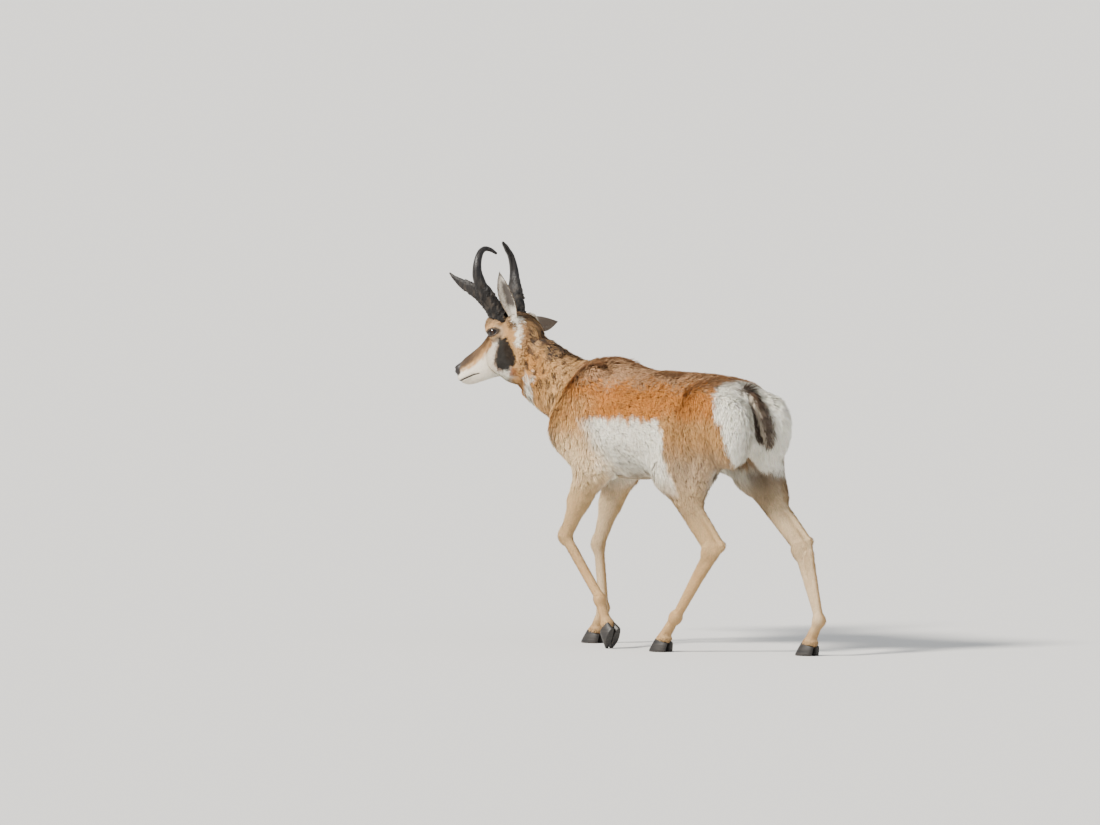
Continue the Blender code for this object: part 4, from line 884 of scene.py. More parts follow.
def head_colours(p, n):
    """The coat's colours on the head."""
    q = in_head(p)
    out, along, up = np.abs(q[:, 0]), q[:, 1], q[:, 2]
    rough = 0.0045 * waves(p, 0.020, 41) + 0.002 * waves(p, 0.007, 42)
    fine = waves(p, 0.006, 43)
    a, u = along + rough, up + rough
    c = np.tile(np.array((0.54, 0.310, 0.125)), (len(p), 1))
    # forehead and crown
    c = tint(c, (0.47, 0.290, 0.140), ramp(u, 0.012, 0.030))
    c = tint(c, (0.54, 0.40, 0.255), 0.5 * bump_at(a, -0.05, 0.03) * ramp(u, 0.0, 0.02))
    # dark bridge of the nose, blackish from between the eyes to the nose pad
    width = curve((-0.02, 0.018), (0.03, 0.034), (0.08, 0.033), (0.14, 0.026), (0.19, 0.025), (0.23, 0.030))(along)
    line = curve((0.0, 0.008), (0.05, -0.006), (0.10, -0.026), (0.15, -0.036), (0.20, -0.042), (0.23, -0.046))(along)
    bridge = (1 - ramp(out + rough, width, width + 0.010)) * ramp(a, 0.015, 0.050) * ramp(u, line - 0.016, line + 0.004)
    c = tint(c, (0.130, 0.070, 0.036), 0.85 * bridge)
    c = tint(c, (0.040, 0.026, 0.018), 0.80 * bridge * ramp(a, 0.08, 0.17))
    # dark brown from behind the horns over the crown to the nape, partly the hair's own colour and partly painted shade
    crown = ramp(-a, 0.034, 0.058) * ramp(u + 0.45 * np.clip(-a - 0.075, 0.0, 0.06), -0.030, -0.006)
    c = tint(c, (0.085, 0.052, 0.033), 0.88 * crown * ramp(fine + 0.8 * waves(p, 0.016, 45), -1.5, 0.0))
    # cream muzzle, cheek and jaw
    rim = curve((-0.06, -0.080), (-0.01, -0.034), (0.02, -0.030), (0.05, -0.036), (0.09, -0.050), (0.13, -0.054), (0.18, -0.056), (0.21, -0.050), (0.23, -0.060))(along)
    pale = (1 - ramp(u, rim - 0.004, rim + 0.010)) * ramp(a, -0.022, -0.004)
    c = tint(c, (0.820, 0.755, 0.640), 0.93 * pale)
    under = ramp(-u, 0.095, 0.120) * ramp(a, -0.02, 0.01)
    c = tint(c, WHITE, 0.9 * under)
    # pale ring round the eye, white below it
    ring = np.sqrt((along - EYE_AT[0]) ** 2 + ((up - EYE_AT[2]) * 1.15) ** 2)
    c = tint(c, (0.62, 0.50, 0.36), 0.55 * bump_at(ring, 0.028, 0.008) * (1 - ramp(u, 0.0, 0.02)))
    c = tint(c, WHITE, 0.75 * bump_at(a, 0.020, 0.022) * bump_at(u, -0.036, 0.010))
    # black patch below the ear, white stripe behind it, rust below it
    front = curve((-0.135, 0.016), (-0.110, 0.040), (-0.085, 0.042), (-0.060, 0.027), (-0.035, 0.006), (-0.020, -0.006))(up)
    back = curve((-0.135, -0.030), (-0.110, -0.042), (-0.085, -0.046), (-0.060, -0.042), (-0.035, -0.034), (-0.020, -0.026))(up)
    a = a + 0.0035 * fine
    patch = ramp(front - a, -0.008, 0.006) * ramp(a - back, -0.004, 0.006) * ramp(-u, 0.020, 0.032) * (1 - ramp(-u, 0.118, 0.128))
    c = tint(c, BLACK, 0.97 * patch)
    c = tint(c, (0.200, 0.085, 0.035), 0.75 * bump_at(front - a, -0.004, 0.006) * ramp(-u, 0.030, 0.045) * (1 - ramp(-u, 0.118, 0.130)))
    rust = bump_at(a, -0.012, 0.022) * bump_at(u, -0.140, 0.016)
    c = tint(c, (0.300, 0.110, 0.035), 0.85 * ramp(rust, 0.25, 0.6))
    stripe = curve((-0.115, -0.050), (-0.095, -0.056), (-0.070, -0.064), (-0.040, -0.074), (0.0, -0.080), (0.03, -0.076))(up)
    band = bump_at(a, stripe - 0.002, 0.013) * (1 - ramp(-u, 0.062, 0.090)) * (1 - ramp(u, 0.020, 0.034))
    c = tint(c, WHITE, 0.95 * ramp(band, 0.25, 0.65) * (1 - patch) * ramp(out + rough, 0.026, 0.040))
    # back of the cheek joins the warm neck
    c = tint(c, (0.42, 0.235, 0.105), ramp(-a, 0.062, 0.090) * (1 - ramp(u, -0.03, 0.0)) * (1 - bump_at(a, stripe, 0.012)))
    # black lids, with a wider painted shade spread round them, and the dark corner of the eye
    lids = eye_spot(p, np.where(q[:, 0] < 0, -1.0, 1.0))[0]
    c = tint(c, (0.022, 0.016, 0.013), 0.96 * (1 - ramp(lids + 0.10 * fine, 1.45, 1.85)) * ramp(out, 0.048, 0.054))
    c = tint(c, (0.05, 0.035, 0.03), 0.80 * bump_at(a, 0.030, 0.009) * bump_at(u, -0.002, 0.0050) * ramp(out, 0.03, 0.04))
    # nose pad, nostrils and the lips' edge
    c = tint(c, NOSE, nose_pad(along + 0.4 * rough, up))
    mouth = np.abs(up - (-0.0795 + 0.0035 * np.clip((along - 0.150) / 0.06, 0, 1) - 0.25 * np.clip(0.152 - along, 0, 1)))
    c = tint(c, (0.03, 0.02, 0.018), 0.85 * (1 - ramp(mouth, 0.0014, 0.0034)) * ramp(along, 0.132, 0.142))
    # roots of the horns
    c = tint(c, (0.12, 0.085, 0.06), 0.6 * bump_at(a, -0.010, 0.03) * ramp(u, 0.022, 0.034) * ramp(out, 0.030, 0.04))
    return c


def bare_at(p):
    """1 on the naked nose pad, lids and lips, 0 in the coat."""
    q = in_head(p)
    out, along, up = np.abs(q[:, 0]), q[:, 1], q[:, 2]
    pad = nose_pad(along, up)
    lids = (1 - ramp(eye_spot(p, np.where(q[:, 0] < 0, -1.0, 1.0))[0], 1.20, 1.45)) * ramp(out, 0.048, 0.054)
    mouth = np.abs(up - (-0.0795 + 0.0035 * np.clip((along - 0.150) / 0.06, 0, 1)))
    lips = (1 - ramp(mouth, 0.0010, 0.0026)) * ramp(along, 0.135, 0.145)
    return np.clip(pad + lids + lips, 0, 1) * (p[:, 2] > 0.7)


def head_share(p):
    """1 on the head, 0 on the neck, smooth across the place where they meet."""
    q = in_head(p)
    along, up = q[:, 1], q[:, 2]
    border = along - 0.55 * np.clip(-up - 0.06, 0.0, 0.15)
    return ramp(border, -0.114, -0.098) * ramp(up, -0.158, -0.144) * ramp(p[:, 2], 0.70, 0.74)


def coat_colours(p, n):
    k = head_share(p)
    c = np.zeros((len(p), 3))
    for part, colours in ((k < 0.999, body_colours), (k > 0.001, head_colours)):
        if part.any():
            share = k[part] if colours is head_colours else 1 - k[part]
            c[part] += colours(p[part], n[part]) * share[:, None]
    return np.clip(c, 0.004, 0.9)


# ---------------------------------------------------------------- the lie of the coat
LIE = (
    # f, l, z of the left side, then the way the hair points there
    ((0.450, 0.010, 0.945), (-0.92, 0.10, -0.36)), ((0.350, 0.010, 0.900), (-0.92, 0.10, -0.36)),
    ((0.420, 0.070, 0.850), (-0.80, 0.00, -0.60)), ((0.450, 0.000, 0.720), (-0.76, 0.20, -0.62)),
    ((0.380, 0.060, 0.740), (-0.66, 0.00, -0.75)), ((0.300, 0.100, 0.740), (-0.62, 0.05, -0.78)),
    ((0.240, 0.020, 0.880), (-0.96, 0.20, -0.20)), ((0.150, 0.000, 0.888), (-1.00, 0.18, -0.06)),
    ((0.000, 0.000, 0.856), (-1.00, 0.22, 0.00)), ((-0.200, 0.000, 0.852), (-1.00, 0.22, 0.00)),
    ((0.150, 0.070, 0.850), (-0.90, 0.20, -0.38)), ((-0.100, 0.070, 0.830), (-0.93, 0.20, -0.30)),
    ((0.180, 0.130, 0.780), (-0.80, 0.00, -0.60)), ((0.000, 0.130, 0.780), (-0.90, 0.00, -0.42)),
    ((0.000, 0.140, 0.700), (-0.92, 0.00, -0.38)), ((0.000, 0.130, 0.600), (-0.94, 0.00, -0.34)),
    ((-0.150, 0.140, 0.700), (-0.90, 0.00, -0.42)), ((0.000, 0.000, 0.510), (-1.00, 0.00, 0.00)),
    ((-0.250, 0.000, 0.560), (-0.90, 0.00, -0.40)), ((0.220, 0.130, 0.700), (-0.50, 0.00, -0.86)),
    ((0.230, 0.140, 0.600), (-0.22, 0.00, -0.97)), ((0.350, 0.030, 0.670), (-0.16, 0.30, -0.94)),
    ((0.250, 0.000, 0.540), (-0.90, 0.00, -0.30)), ((0.130, 0.110, 0.560), (-0.60, 0.00, -0.80)),
    ((-0.190, 0.150, 0.600), (-0.60, 0.00, -0.80)), ((-0.300, 0.145, 0.700), (-0.62, 0.00, -0.78)),
    ((-0.300, 0.090, 0.830), (-0.92, 0.15, -0.34)), ((-0.300, 0.145, 0.560), (-0.45, 0.00, -0.90)),
    ((-0.430, 0.140, 0.700), (-0.50, 0.20, -0.84)), ((-0.490, 0.080, 0.700), (-0.15, 0.42, -0.88)),
    ((-0.480, 0.030, 0.680), (0.00, 0.55, -0.82)), ((-0.460, 0.060, 0.600), (-0.05, 0.05, -1.00)),
    ((-0.420, 0.040, 0.800), (-0.88, 0.20, -0.42)), ((-0.420, 0.100, 0.600), (-0.30, 0.00, -0.95)),
    ((-0.450, 0.000, 0.790), (-0.70, 0.00, -0.70)),
)
HEAD_LIE = (
    # along, out, up of the head, then the way the hair points there
    ((0.190, 0.010, -0.020), (-1.00, 0.12, 0.10)), ((0.100, 0.000, 0.000), (-1.00, 0.15, 0.12)),
    ((0.030, 0.000, 0.036), (-1.00, 0.10, 0.25)), ((-0.050, 0.000, 0.046), (-1.00, 0.20, 0.00)),
    ((-0.100, 0.000, 0.000), (-0.90, 0.20, -0.50)), ((0.180, 0.026, -0.050), (-1.00, 0.00, -0.12)),
    ((0.180, 0.020, -0.092), (-1.00, 0.00, 0.05)), ((0.120, 0.030, -0.080), (-1.00, 0.00, -0.15)),
    ((0.040, 0.050, -0.080), (-0.92, 0.00, -0.38)), ((-0.020, 0.060, -0.090), (-0.80, 0.00, -0.60)),
    ((0.050, 0.000, -0.130), (-1.00, 0.10, 0.00)), ((-0.060, 0.060, -0.040), (-0.60, 0.00, -0.80)),
    ((0.000, 0.060, 0.022), (-0.85, 0.10, 0.50)), ((0.010, 0.060, -0.032), (-0.85, 0.00, -0.50)),
    ((0.050, 0.040, -0.015), (-0.95, 0.15, -0.10)), ((-0.035, 0.060, 0.000), (-0.95, 0.10, -0.20)),
)


def lie_anchors():
    spots, ways = [], []
    for (f, l, z), (df, dl, dz) in LIE:
        for s in ((1, -1) if l else (1,)):
            spots.append(place(f, s * l, z))
            ways.append((s * dl if l else 0.0, -df, dz))
    for (a, o, u), (da, do, du) in HEAD_LIE:
        for s in ((1, -1) if o else (1,)):
            spots.append(from_head(a, s * o, u))
            ways.append(HEAD @ np.array([s * do, da, du]))
    for s in (1, -1):
        for chain in (
            (ELBOW, KNEE, FORE_FETLOCK, FORE_CORONET), (STIFLE, HOCK, HIND_FETLOCK, HIND_CORONET),
        ):
            for a, b in zip(chain, chain[1:]):
                a, b = place(*a[s]), place(*b[s])
                first = 0.25 if chain[0] in (ELBOW, STIFLE) and a[2] > 0.5 else 0.0
                for t in np.linspace(first, 0.9, 5):
                    spots.append(a + (b - a) * t)
                    ways.append((b - a) / np.linalg.norm(b - a))
        ham, heel = place(*HAM[s]), place(*HEEL[s])
        for t in (0.1, 0.5, 0.9):
            spots.append(ham + (heel - ham) * t)
            ways.append((heel - ham) / np.linalg.norm(heel - ham))
    rows = smooth_rows(TAIL, 5)
    for a, b in zip(rows, rows[1:]):
        a, b = place(*a[:3]), place(*b[:3])
        spots.append((a + b) / 2)
        ways.append((b - a) / np.linalg.norm(b - a))
    return np.array(spots), unit_rows(np.array(ways))


SPOTS, WAYS = lie_anchors()


def lie_of(p, n):
    """The way the hair points along the skin at each point."""
    total = np.zeros_like(p)
    for at, way in zip(SPOTS, WAYS):
        near = 1.0 / (((p - at) ** 2).sum(1) + 0.0006) ** 2
        total += near[:, None] * way
    total = unit_rows(total)
    t = total - n * (total * n).sum(1)[:, None]
    small = np.linalg.norm(t, axis=1) < 0.15
    t[small] += (np.array([0.0, 0.3, -0.6]) - n[small] * (n[small] @ np.array([0.0, 0.3, -0.6]))[:, None])
    return unit_rows(t)


# ---------------------------------------------------------------- tufts
STOPS = (0.0, 0.34, 0.70, 1.0)


def make_tufts(name, p, n, t, length, width, rise, fall, colours, uv, rng, sway=0.10, round_by=0.45, root=0.74, tip=1.10, soft=0.70, pull=None, wave=0.0):
    """Curved blades: seven points and five triangles each, lying the way t over normals n.

    rise and fall are the angles to the skin at the root and at the tip, in radians.
    """
    count = len(p)
    b = np.cross(n, t)
    twist = rng.normal(0, 0.35, count)
    swing = rng.normal(0, sway, count)
    spots = [p - n * 0.0012]
    widths = (0.55, 1.0, 0.72)
    for j in range(3):
        k = (j + 0.5) / 3
        angle = rise + (fall - rise) * k
        turn_by = swing * (k * 2)
        way = t * np.cos(turn_by)[:, None] + b * np.sin(turn_by)[:, None]
        step = (STOPS[j + 1] - STOPS[j]) * length
        spots.append(spots[-1] + (way * np.cos(angle)[:, None] + n * np.sin(angle)[:, None]) * step[:, None])
    if wave:
        bent = wave * np.sin(length / 0.009 + rng.uniform(0, 6.3, count))
        spots[1] = spots[1] + b * bent[:, None]
        spots[2] = spots[2] - b * bent[:, None]
    if pull is not None:
        for j, share in ((1, 0.18), (2, 0.62), (3, 1.0)):
            spots[j] = spots[j] + pull * share
    across = b * np.cos(twist)[:, None] + n * (0.5 * np.sin(twist))[:, None]
    verts = np.empty((count, 7, 3))
    norms = np.empty((count, 7, 3))
    for j in range(3):
        half = across * (width * widths[j] / 2)[:, None]
        verts[:, 2 * j] = spots[j] - half
        verts[:, 2 * j + 1] = spots[j] + half
        ahead = unit_rows(spots[j + 1] - spots[j])
        face = unit_rows(np.cross(ahead, across))
        face = n * soft + face * (1 - soft)
        norms[:, 2 * j] = face - b * round_by
        norms[:, 2 * j + 1] = face + b * round_by
    verts[:, 6] = spots[3]
    norms[:, 6] = face
    base = (np.arange(count) * 7)[:, None, None]
    pattern = np.array([(1, 0, 2), (1, 2, 3), (3, 2, 4), (3, 4, 5), (5, 4, 6)])
    tris = (base + pattern[None]).reshape(-1, 3)
    obj = mesh_from(name, verts.reshape(-1, 3), tris)
    mesh = obj.data
    # Each blade is painted darker at its root, a painted shade among the hairs, and paler at its tip.
    shade = np.array([root, root, 0.93, 0.93, 1.0, 1.0, tip])
    flick = 1 + rng.normal(0, 0.085, count)
    warm = 1 + rng.normal(0, 0.025, (count, 3))
    c = colours[:, None, :] * shade[None, :, None] * (flick[:, None] * warm)[:, None, :]
    put_colours(mesh, "Coat", np.clip(c, 0.003, 0.92).reshape(-1, 3))
    layer = mesh.uv_layers.new(name="OFBake")
    spot = np.array([(-1, 0), (1, 0), (-1, 0.7), (1, 0.7), (-0.8, 1.4), (0.8, 1.4), (0, 2.0)]) * 0.0011
    spot[:, 1] -= 0.0011
    low, high = uv.min(0), uv.max(0)
    uv = 0.004 + 0.992 * (uv - low) / (high - low)
    each = uv[:, None, :] + spot[None]
    loops = each[:, pattern.ravel() % 7].reshape(-1, 2)
    layer.data.foreach_set("uv", np.clip(loops, 0.0, 1.0).astype(np.float32).ravel())
    mesh.normals_split_custom_set_from_vertices(unit_rows(norms.reshape(-1, 3)).astype(np.float32))
    return obj


# ---------------------------------------------------------------- how long the coat is
def coat_length(p):
    f, l, z = body_of(p)
    along, up = neck_place(f, z)
    q = in_head(p)
    d = 0.030 + 0.010 * ramp(z, 0.77, 0.85)
    d = mix(d, 0.026, 1 - ramp(z, 0.54, 0.66))
    d = mix(d, 0.044, ramp(f, 0.24, 0.34))
    d = mix(d, 0.052, ramp(up, 0.055, 0.075) * ramp(along, 0.18, 0.24) * (z > 0.8))
    rump = ramp(-f, 0.385, 0.440) * ramp(z, 0.56, 0.62)
    d = mix(d, 0.040, rump)
    d = mix(d, 0.026, rump * (1 - ramp(np.abs(l), 0.030, 0.050)))
    d = mix(d, 0.0115, 1 - ramp(z, 0.40, 0.53))
    d = mix(d, 0.0070, 1 - ramp(z, 0.20, 0.34))
    d = mix(d, 0.0125, 1 - ramp(z, 0.046, 0.060))
    k = head_share(p)
    d = mix(d, 0.0105, k)
    d = mix(d, 0.0058, k * ramp(q[:, 1], 0.02, 0.12))
    d = mix(d, 0.0040, k * ramp(q[:, 1], 0.15, 0.20))
    lids = eye_spot(p, np.where(q[:, 0] < 0, -1.0, 1.0))[0]
    d = mix(d, 0.0036, k * (1 - ramp(lids, 1.4, 3.0)) * (np.abs(q[:, 0]) > 0.045))
    tail = (tail_form(p) < 0.004) & (f < -0.43)
    return np.where(tail, 0.030, d)


# ---------------------------------------------------------------- the ears
def ear_points(s, t, across, lift):
    """Many points of an ear at once: t along it, across in half widths, lift out of the cup."""
    along, face, side = ear_frame(s)
    w = EAR_WIDTH * 0.5 * EAR_HALF(t)
    hollow = 0.85 * w * across**2
    a, o, u = EAR_BEND[s]
    bend = np.outer(np.maximum(t, 0) ** 2, LEVEL @ np.array([s * o, a, u]))
    root = from_level(EAR_ROOT[s][0], s * EAR_ROOT[s][1], EAR_ROOT[s][2])
    return (
        root + np.outer(t * EAR_LENGTH, along) + bend + np.outer(across * w, side)
        + np.outer(hollow + lift - 0.010, face)
    )


def ear_shell(s, rows=64, half=18):
    """Outer and inner walls of an ear's skin, a little inside its solid."""
    tt, xx, ll, inner = [], [], [], []
    for i in range(rows + 1):
        t = -0.10 + 1.095 * i / rows
        thick = 0.0022 + 0.0150 * np.clip(1 - max(t, 0) / 0.22, 0, 1) ** 1.2
        for k in range(2 * half):
            out = k <= half
            x = -1 + 2 * k / half if out else 1 - 2 * (k - half) / half
            lift = -thick * 0.5 * (1 - 0.55 * x * x) if out else thick * 0.5 * (1 - x * x) + 0.0004
            # two low folds run up the inside of the cup
            if not out:
                lift += 0.0012 * np.cos(5.5 * x) * (1 - x * x) * np.clip(t / 0.3, 0, 1) * np.clip((0.9 - t) / 0.3, 0, 1)
            tt.append(t)
            xx.append(0.965 * x)
            ll.append(lift)
            inner.append(not out)
    tt, xx, ll = np.array(tt), np.array(xx), np.array(ll)
    points = ear_points(s, tt, xx, ll)
    n = 2 * half
    i, k = np.meshgrid(np.arange(rows), np.arange(n), indexing="ij")
    i, k = i.ravel(), k.ravel()
    j = (k + 1) % n
    quads = np.stack([i * n + k, i * n + j, (i + 1) * n + j, (i + 1) * n + k], 1)
    # the faces look outward, away from the middle of their ring
    ring = points.reshape(rows + 1, n, 3).mean(1)
    mid = points[quads].mean(1)
    flat = np.cross(points[quads[:, 1]] - points[quads[:, 0]], points[quads[:, 3]] - points[quads[:, 0]])
    if ((mid - ring[i]) * flat).sum() < 0:
        quads = quads[:, ::-1]
    return points, quads, tt, xx, np.array(inner)


def ear_colours(s, t, x, inner, p):
    fine = waves(p, 0.006, 51)
    w = np.abs(x) + 0.06 * waves(p, 0.012, 52)
    back = np.tile(np.array((0.30, 0.215, 0.135)), (len(p), 1))
    back = tint(back, (0.50, 0.40, 0.28), (1 - ramp(t, 0.05, 0.45)) * 0.8)
    back = tint(back, (0.045, 0.032, 0.026), ramp(t + 0.04 * fine, 0.80, 0.96))
    back = tint(back, (0.085, 0.060, 0.045), 0.7 * ramp(w, 0.86, 0.97) * ramp(t, 0.25, 0.45))
    cup = np.tile(np.array((0.72, 0.67, 0.585)), (len(p), 1))
    dark = (1 - ramp(w, 0.42, 0.66)) * ramp(t, 0.22, 0.36) * (1 - ramp(t, 0.74, 0.90))
    cup = tint(cup, (0.045, 0.034, 0.030), 0.92 * dark)
    cup = tint(cup, (0.36, 0.27, 0.22), 0.5 * (1 - ramp(t, 0.10, 0.30)) * (1 - ramp(w, 0.2, 0.6)))
    cup = tint(cup, (0.06, 0.045, 0.036), 0.85 * ramp(t, 0.86, 0.97))
    fore = -np.sign(ear_frame(s)[2][1])
    cup = tint(cup, (0.060, 0.042, 0.032), 0.9 * ramp(x * fore, 0.86, 0.93) * ramp(t, 0.30, 0.42))
    # The right ear's back is painted darker still: a painted shade, as that ear turns away from the light.
    if s < 0:
        back = tint(back, (0.070, 0.046, 0.032), np.full(len(p), 0.80) * ramp(t, 0.02, 0.20))
    return np.where(inner[:, None], cup, back)


# ---------------------------------------------------------------- the skin as one mesh
def zone(form, low, high, h, keep):
    points, quads = net(form, low, high, h)
    return keep_faces(points, quads, keep(points[quads].mean(1)))


SPLIT_Y = ORIGIN_F - 0.540      # the head zone starts here
COARSE = 1.0

BODY = zone(skin_form, (-0.165, SPLIT_Y - 0.02, 0.440), (0.200, 0.600, 1.030), 0.0060 * COARSE,
            lambda c: (c[:, 2] > 0.462) & (c[:, 1] > SPLIT_Y - 0.004))
LEGS = zone(skin_form, (-0.165, -0.345, 0.018), (0.175, 0.755, 0.484), 0.0040 * COARSE,
            lambda c: c[:, 2] < 0.472)
FACE = zone(face_form, (-0.080, -0.748, 0.740), (0.140, SPLIT_Y + 0.02, 1.022), 0.0022 * COARSE,
            lambda c: c[:, 1] < SPLIT_Y + 0.005)
EARS = {s: ear_shell(s) for s in (1, -1)}


def join(parts):
    points, quads, start = [], [], 0
    for p, q in parts:
        points.append(p)
        quads.append(q + start)
        start += len(p)
    return np.concatenate(points), np.concatenate(quads)


def make_skin():
    points, quads = join([BODY, LEGS, FACE] + [EARS[s][:2] for s in (1, -1)])
    normals = vertex_normals(points, quads)
    obj = mesh_from("skin", points, quads)
    colours = coat_colours(points, normals)
    # The skin is painted darker under the coat, a painted shade that is deepest where the coat is deepest; bare skin
    # keeps its colour.
    dark = 0.74 + 0.20 * ramp(0.010 - coat_depth(points), 0.0, 0.0075)
    bare = bare_at(points)
    colours *= mix(dark, 1.0, bare)[:, None]
    start = len(BODY[0]) + len(LEGS[0]) + len(FACE[0])
    for s in (1, -1):
        p, _, t, x, inner = EARS[s]
        end = start + len(p)
        # painted shade under the ears' hair, as on the rest of the skin
        colours[start:end] = ear_colours(s, t, x, inner, p) * 0.85
        bare[start:end] = 0
        start = end
    put_colours(obj.data, "Coat", colours)
    put_value(obj.data, "Bare", bare)
    return obj


# ---------------------------------------------------------------- coat pieces
def unwrap(points, quads):
    """UV corners of each quad, from an unwrap of this stretch of skin."""
    obj = mesh_from("unwrap", points, quads)
    obj.data.uv_layers.new(name="UV")
    bpy.ops.object.select_all(action="DESELECT")
    obj.select_set(True)
    bpy.context.view_layer.objects.active = obj
    bpy.ops.object.mode_set(mode="EDIT")
    bpy.ops.mesh.select_all(action="SELECT")
    bpy.ops.uv.smart_project(angle_limit=np.radians(72), island_margin=0.002, area_weight=0.3)
    bpy.ops.object.mode_set(mode="OBJECT")
    uv = np.empty(len(obj.data.loops) * 2, np.float32)
    obj.data.uv_layers.active.data.foreach_get("uv", uv)
    mesh = obj.data
    bpy.data.objects.remove(obj)
    bpy.data.meshes.remove(mesh)
    return uv.reshape(len(quads), 4, 2)


def root_places(points, quads, normals, target, rng, dense=None):
    """Scattered roots, evenly apart: position, normal, UV and values of the quads' corners."""
    uv = unwrap(points, quads)
    corners = ((0, 1, 2), (0, 2, 3))
    tri = np.concatenate([quads[:, list(c)] for c in corners])
    tri_uv = np.concatenate([uv[:, list(c)] for c in corners])
    a, b, c = (points[tri[:, i]] for i in range(3))
    area = np.linalg.norm(np.cross(b - a, c - a), axis=1) / 2
    weight = area * (1 if dense is None else dense(points[tri].mean(1)))
    want = int(target * 3.0)
    which = rng.choice(len(tri), size=want, p=weight / weight.sum())
    r1, r2 = np.sqrt(rng.random(want)), rng.random(want)
    w = np.stack([1 - r1, r1 * (1 - r2), r1 * r2], 1)
    p = (points[tri[which]] * w[:, :, None]).sum(1)
    space = np.sqrt(area.sum() * 1.35 / target)
    grain = space if dense is None else space / np.sqrt(dense(p) / 1.3)
    key = np.floor(p / np.reshape(grain, (-1, 1))).astype(np.int64) + 4096
    key = (key[:, 0] * 8192 + key[:, 1]) * 8192 + key[:, 2]
    _, first = np.unique(key, return_index=True)
    if len(first) > target:
        first = rng.choice(first, size=target, replace=False)
    first.sort()
    w, which, p = w[first], which[first], p[first]
    n = unit_rows((normals[tri[which]] * w[:, :, None]).sum(1))
    at = (tri_uv[which] * w[:, :, None]).sum(1)
    return p, n, at, tri[which], w


def pull_to(p, t, n, apart, strength, length, rng):
    """How far each tip is drawn to the middle of its clump, and the clump's own tone."""
    tips = p + t * length[:, None]
    count = max(8, int(len(p) * (np.pi * 0.0028**2) / apart**2))
    heads = rng.choice(len(p), size=min(count, len(p)), replace=False)
    tree = KDTree(len(heads))
    for i, head in enumerate(heads):
        tree.insert(p[head], i)
    tree.balance()
    which = np.array([tree.find(spot)[1] for spot in p])
    way = tips[heads][which] - tips
    way -= n * (way * n).sum(1)[:, None]
    far = np.linalg.norm(way, axis=1)
    way *= np.minimum(1.0, 0.8 * apart / np.maximum(far, 1e-6))[:, None]
    return way * strength, rng.normal(0, 1, len(heads))[which]


def make_coat(name, stretch, target, seed, wide=0.092, clump=0.0, clump_size=0.016, wild=10.0, keep=None, dense=None, material=None):
    """The tufts of one stretch of skin."""
    points, quads = stretch
    normals = vertex_normals(points, quads)
    if keep is not None:
        points, quads = keep_faces(points, quads, keep(points[quads].mean(1)))
        normals = vertex_normals(points, quads)
    rng = np.random.default_rng(seed)
    target = int(target * (1.0))
    p, n, uv, _, _ = root_places(points, quads, normals, target, rng, dense)
    bare = bare_at(p)
    ok = bare < 0.35
    p, n, uv = p[ok], n[ok], uv[ok]
    t = lie_of(p, n)
    swirl = np.radians(wild) * (waves(p, 0.055, seed + 1) + 0.6 * waves(p, 0.022, seed + 2)) + rng.normal(0, 0.09, len(p))
    b = np.cross(n, t)
    t = t * np.cos(swirl)[:, None] + b * np.sin(swirl)[:, None]
    length = coat_length(p) * rng.uniform(0.80, 1.16, len(p))
    length *= 1 + 0.10 * waves(p, 0.03, seed + 3)
    depth = tuft_depth(p)
    height = depth * rng.uniform(0.72, 1.04, len(p)) + 0.0006
    mean = np.arcsin(np.clip(height / length, 0.05, 0.80))
    width = np.maximum(length * wide, 0.0013) * rng.uniform(0.75, 1.25, len(p))
    colours = coat_colours(p + n * depth[:, None], n)
    pull = None
    if clump:
        pull, tone = pull_to(p, t, n, clump_size, clump, length, rng)
        colours = colours * (1 + 0.10 * np.clip(tone, -1.6, 1.6) * min(1.0, clump * 1.4))[:, None]
    obj = make_tufts(
        name, p, n, t, length, width, np.minimum(mean * 1.55, 1.25), mean * 0.42, colours, uv, rng,
        pull=pull, wave=0.0022 * clump,
    )
    obj.data.materials.append(material)
    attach(obj, "root")
    return obj


def ear_coat(material):
    """Short hair on the backs of the ears and longer white hair along their rims."""
    pieces = []
    for s in (1, -1):
        points, quads, t, x, inner = EARS[s]
        normals = vertex_normals(points, quads)
        rng = np.random.default_rng(700 + s)
        target = int(6200 * (1.0))
        p, n, uv, tri, w = root_places(points, quads, normals, target, rng)
        tt = (t[tri] * w).sum(1)
        xx = (x[tri] * w).sum(1)
        inside = (inner[tri] * w).sum(1) > 0.5
        along, face, side = ear_frame(s)
        lie = along + side * (0.25 * np.sign(xx) * inside)[:, None]
        rim = np.abs(xx) > 0.72
        lie = np.where((rim & inside)[:, None], along * 0.7 - side * (0.75 * np.sign(xx))[:, None], lie)
        lie = lie - n * (lie * n).sum(1)[:, None]
        lie = unit_rows(lie)
        length = np.where(inside, np.where(rim, 0.0085, 0.0070), 0.0075) * rng.uniform(0.8, 1.15, len(p))
        length *= mix(1.0, 0.6, ramp(tt, 0.75, 1.0))
        mean = np.where(inside, np.where(rim, 0.42, 0.24), 0.17)
        width = np.full(len(p), 0.0014) * rng.uniform(0.8, 1.2, len(p))
        colours = ear_colours(s, tt, xx, inside, p)
        rear = xx * -np.sign(side[1]) < 0.80
        colours = np.where((rim & inside & rear)[:, None] & (tt < 0.85)[:, None], np.array((0.78, 0.74, 0.66)), colours)
        obj = make_tufts(f"coat_ear_{'left' if s > 0 else 'right'}", p, n, lie, length, width, mean * 1.4, mean * 0.5, colours, uv, rng)
        obj.data.materials.append(material)
        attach(obj, "root")
        pieces.append(obj)
    return pieces


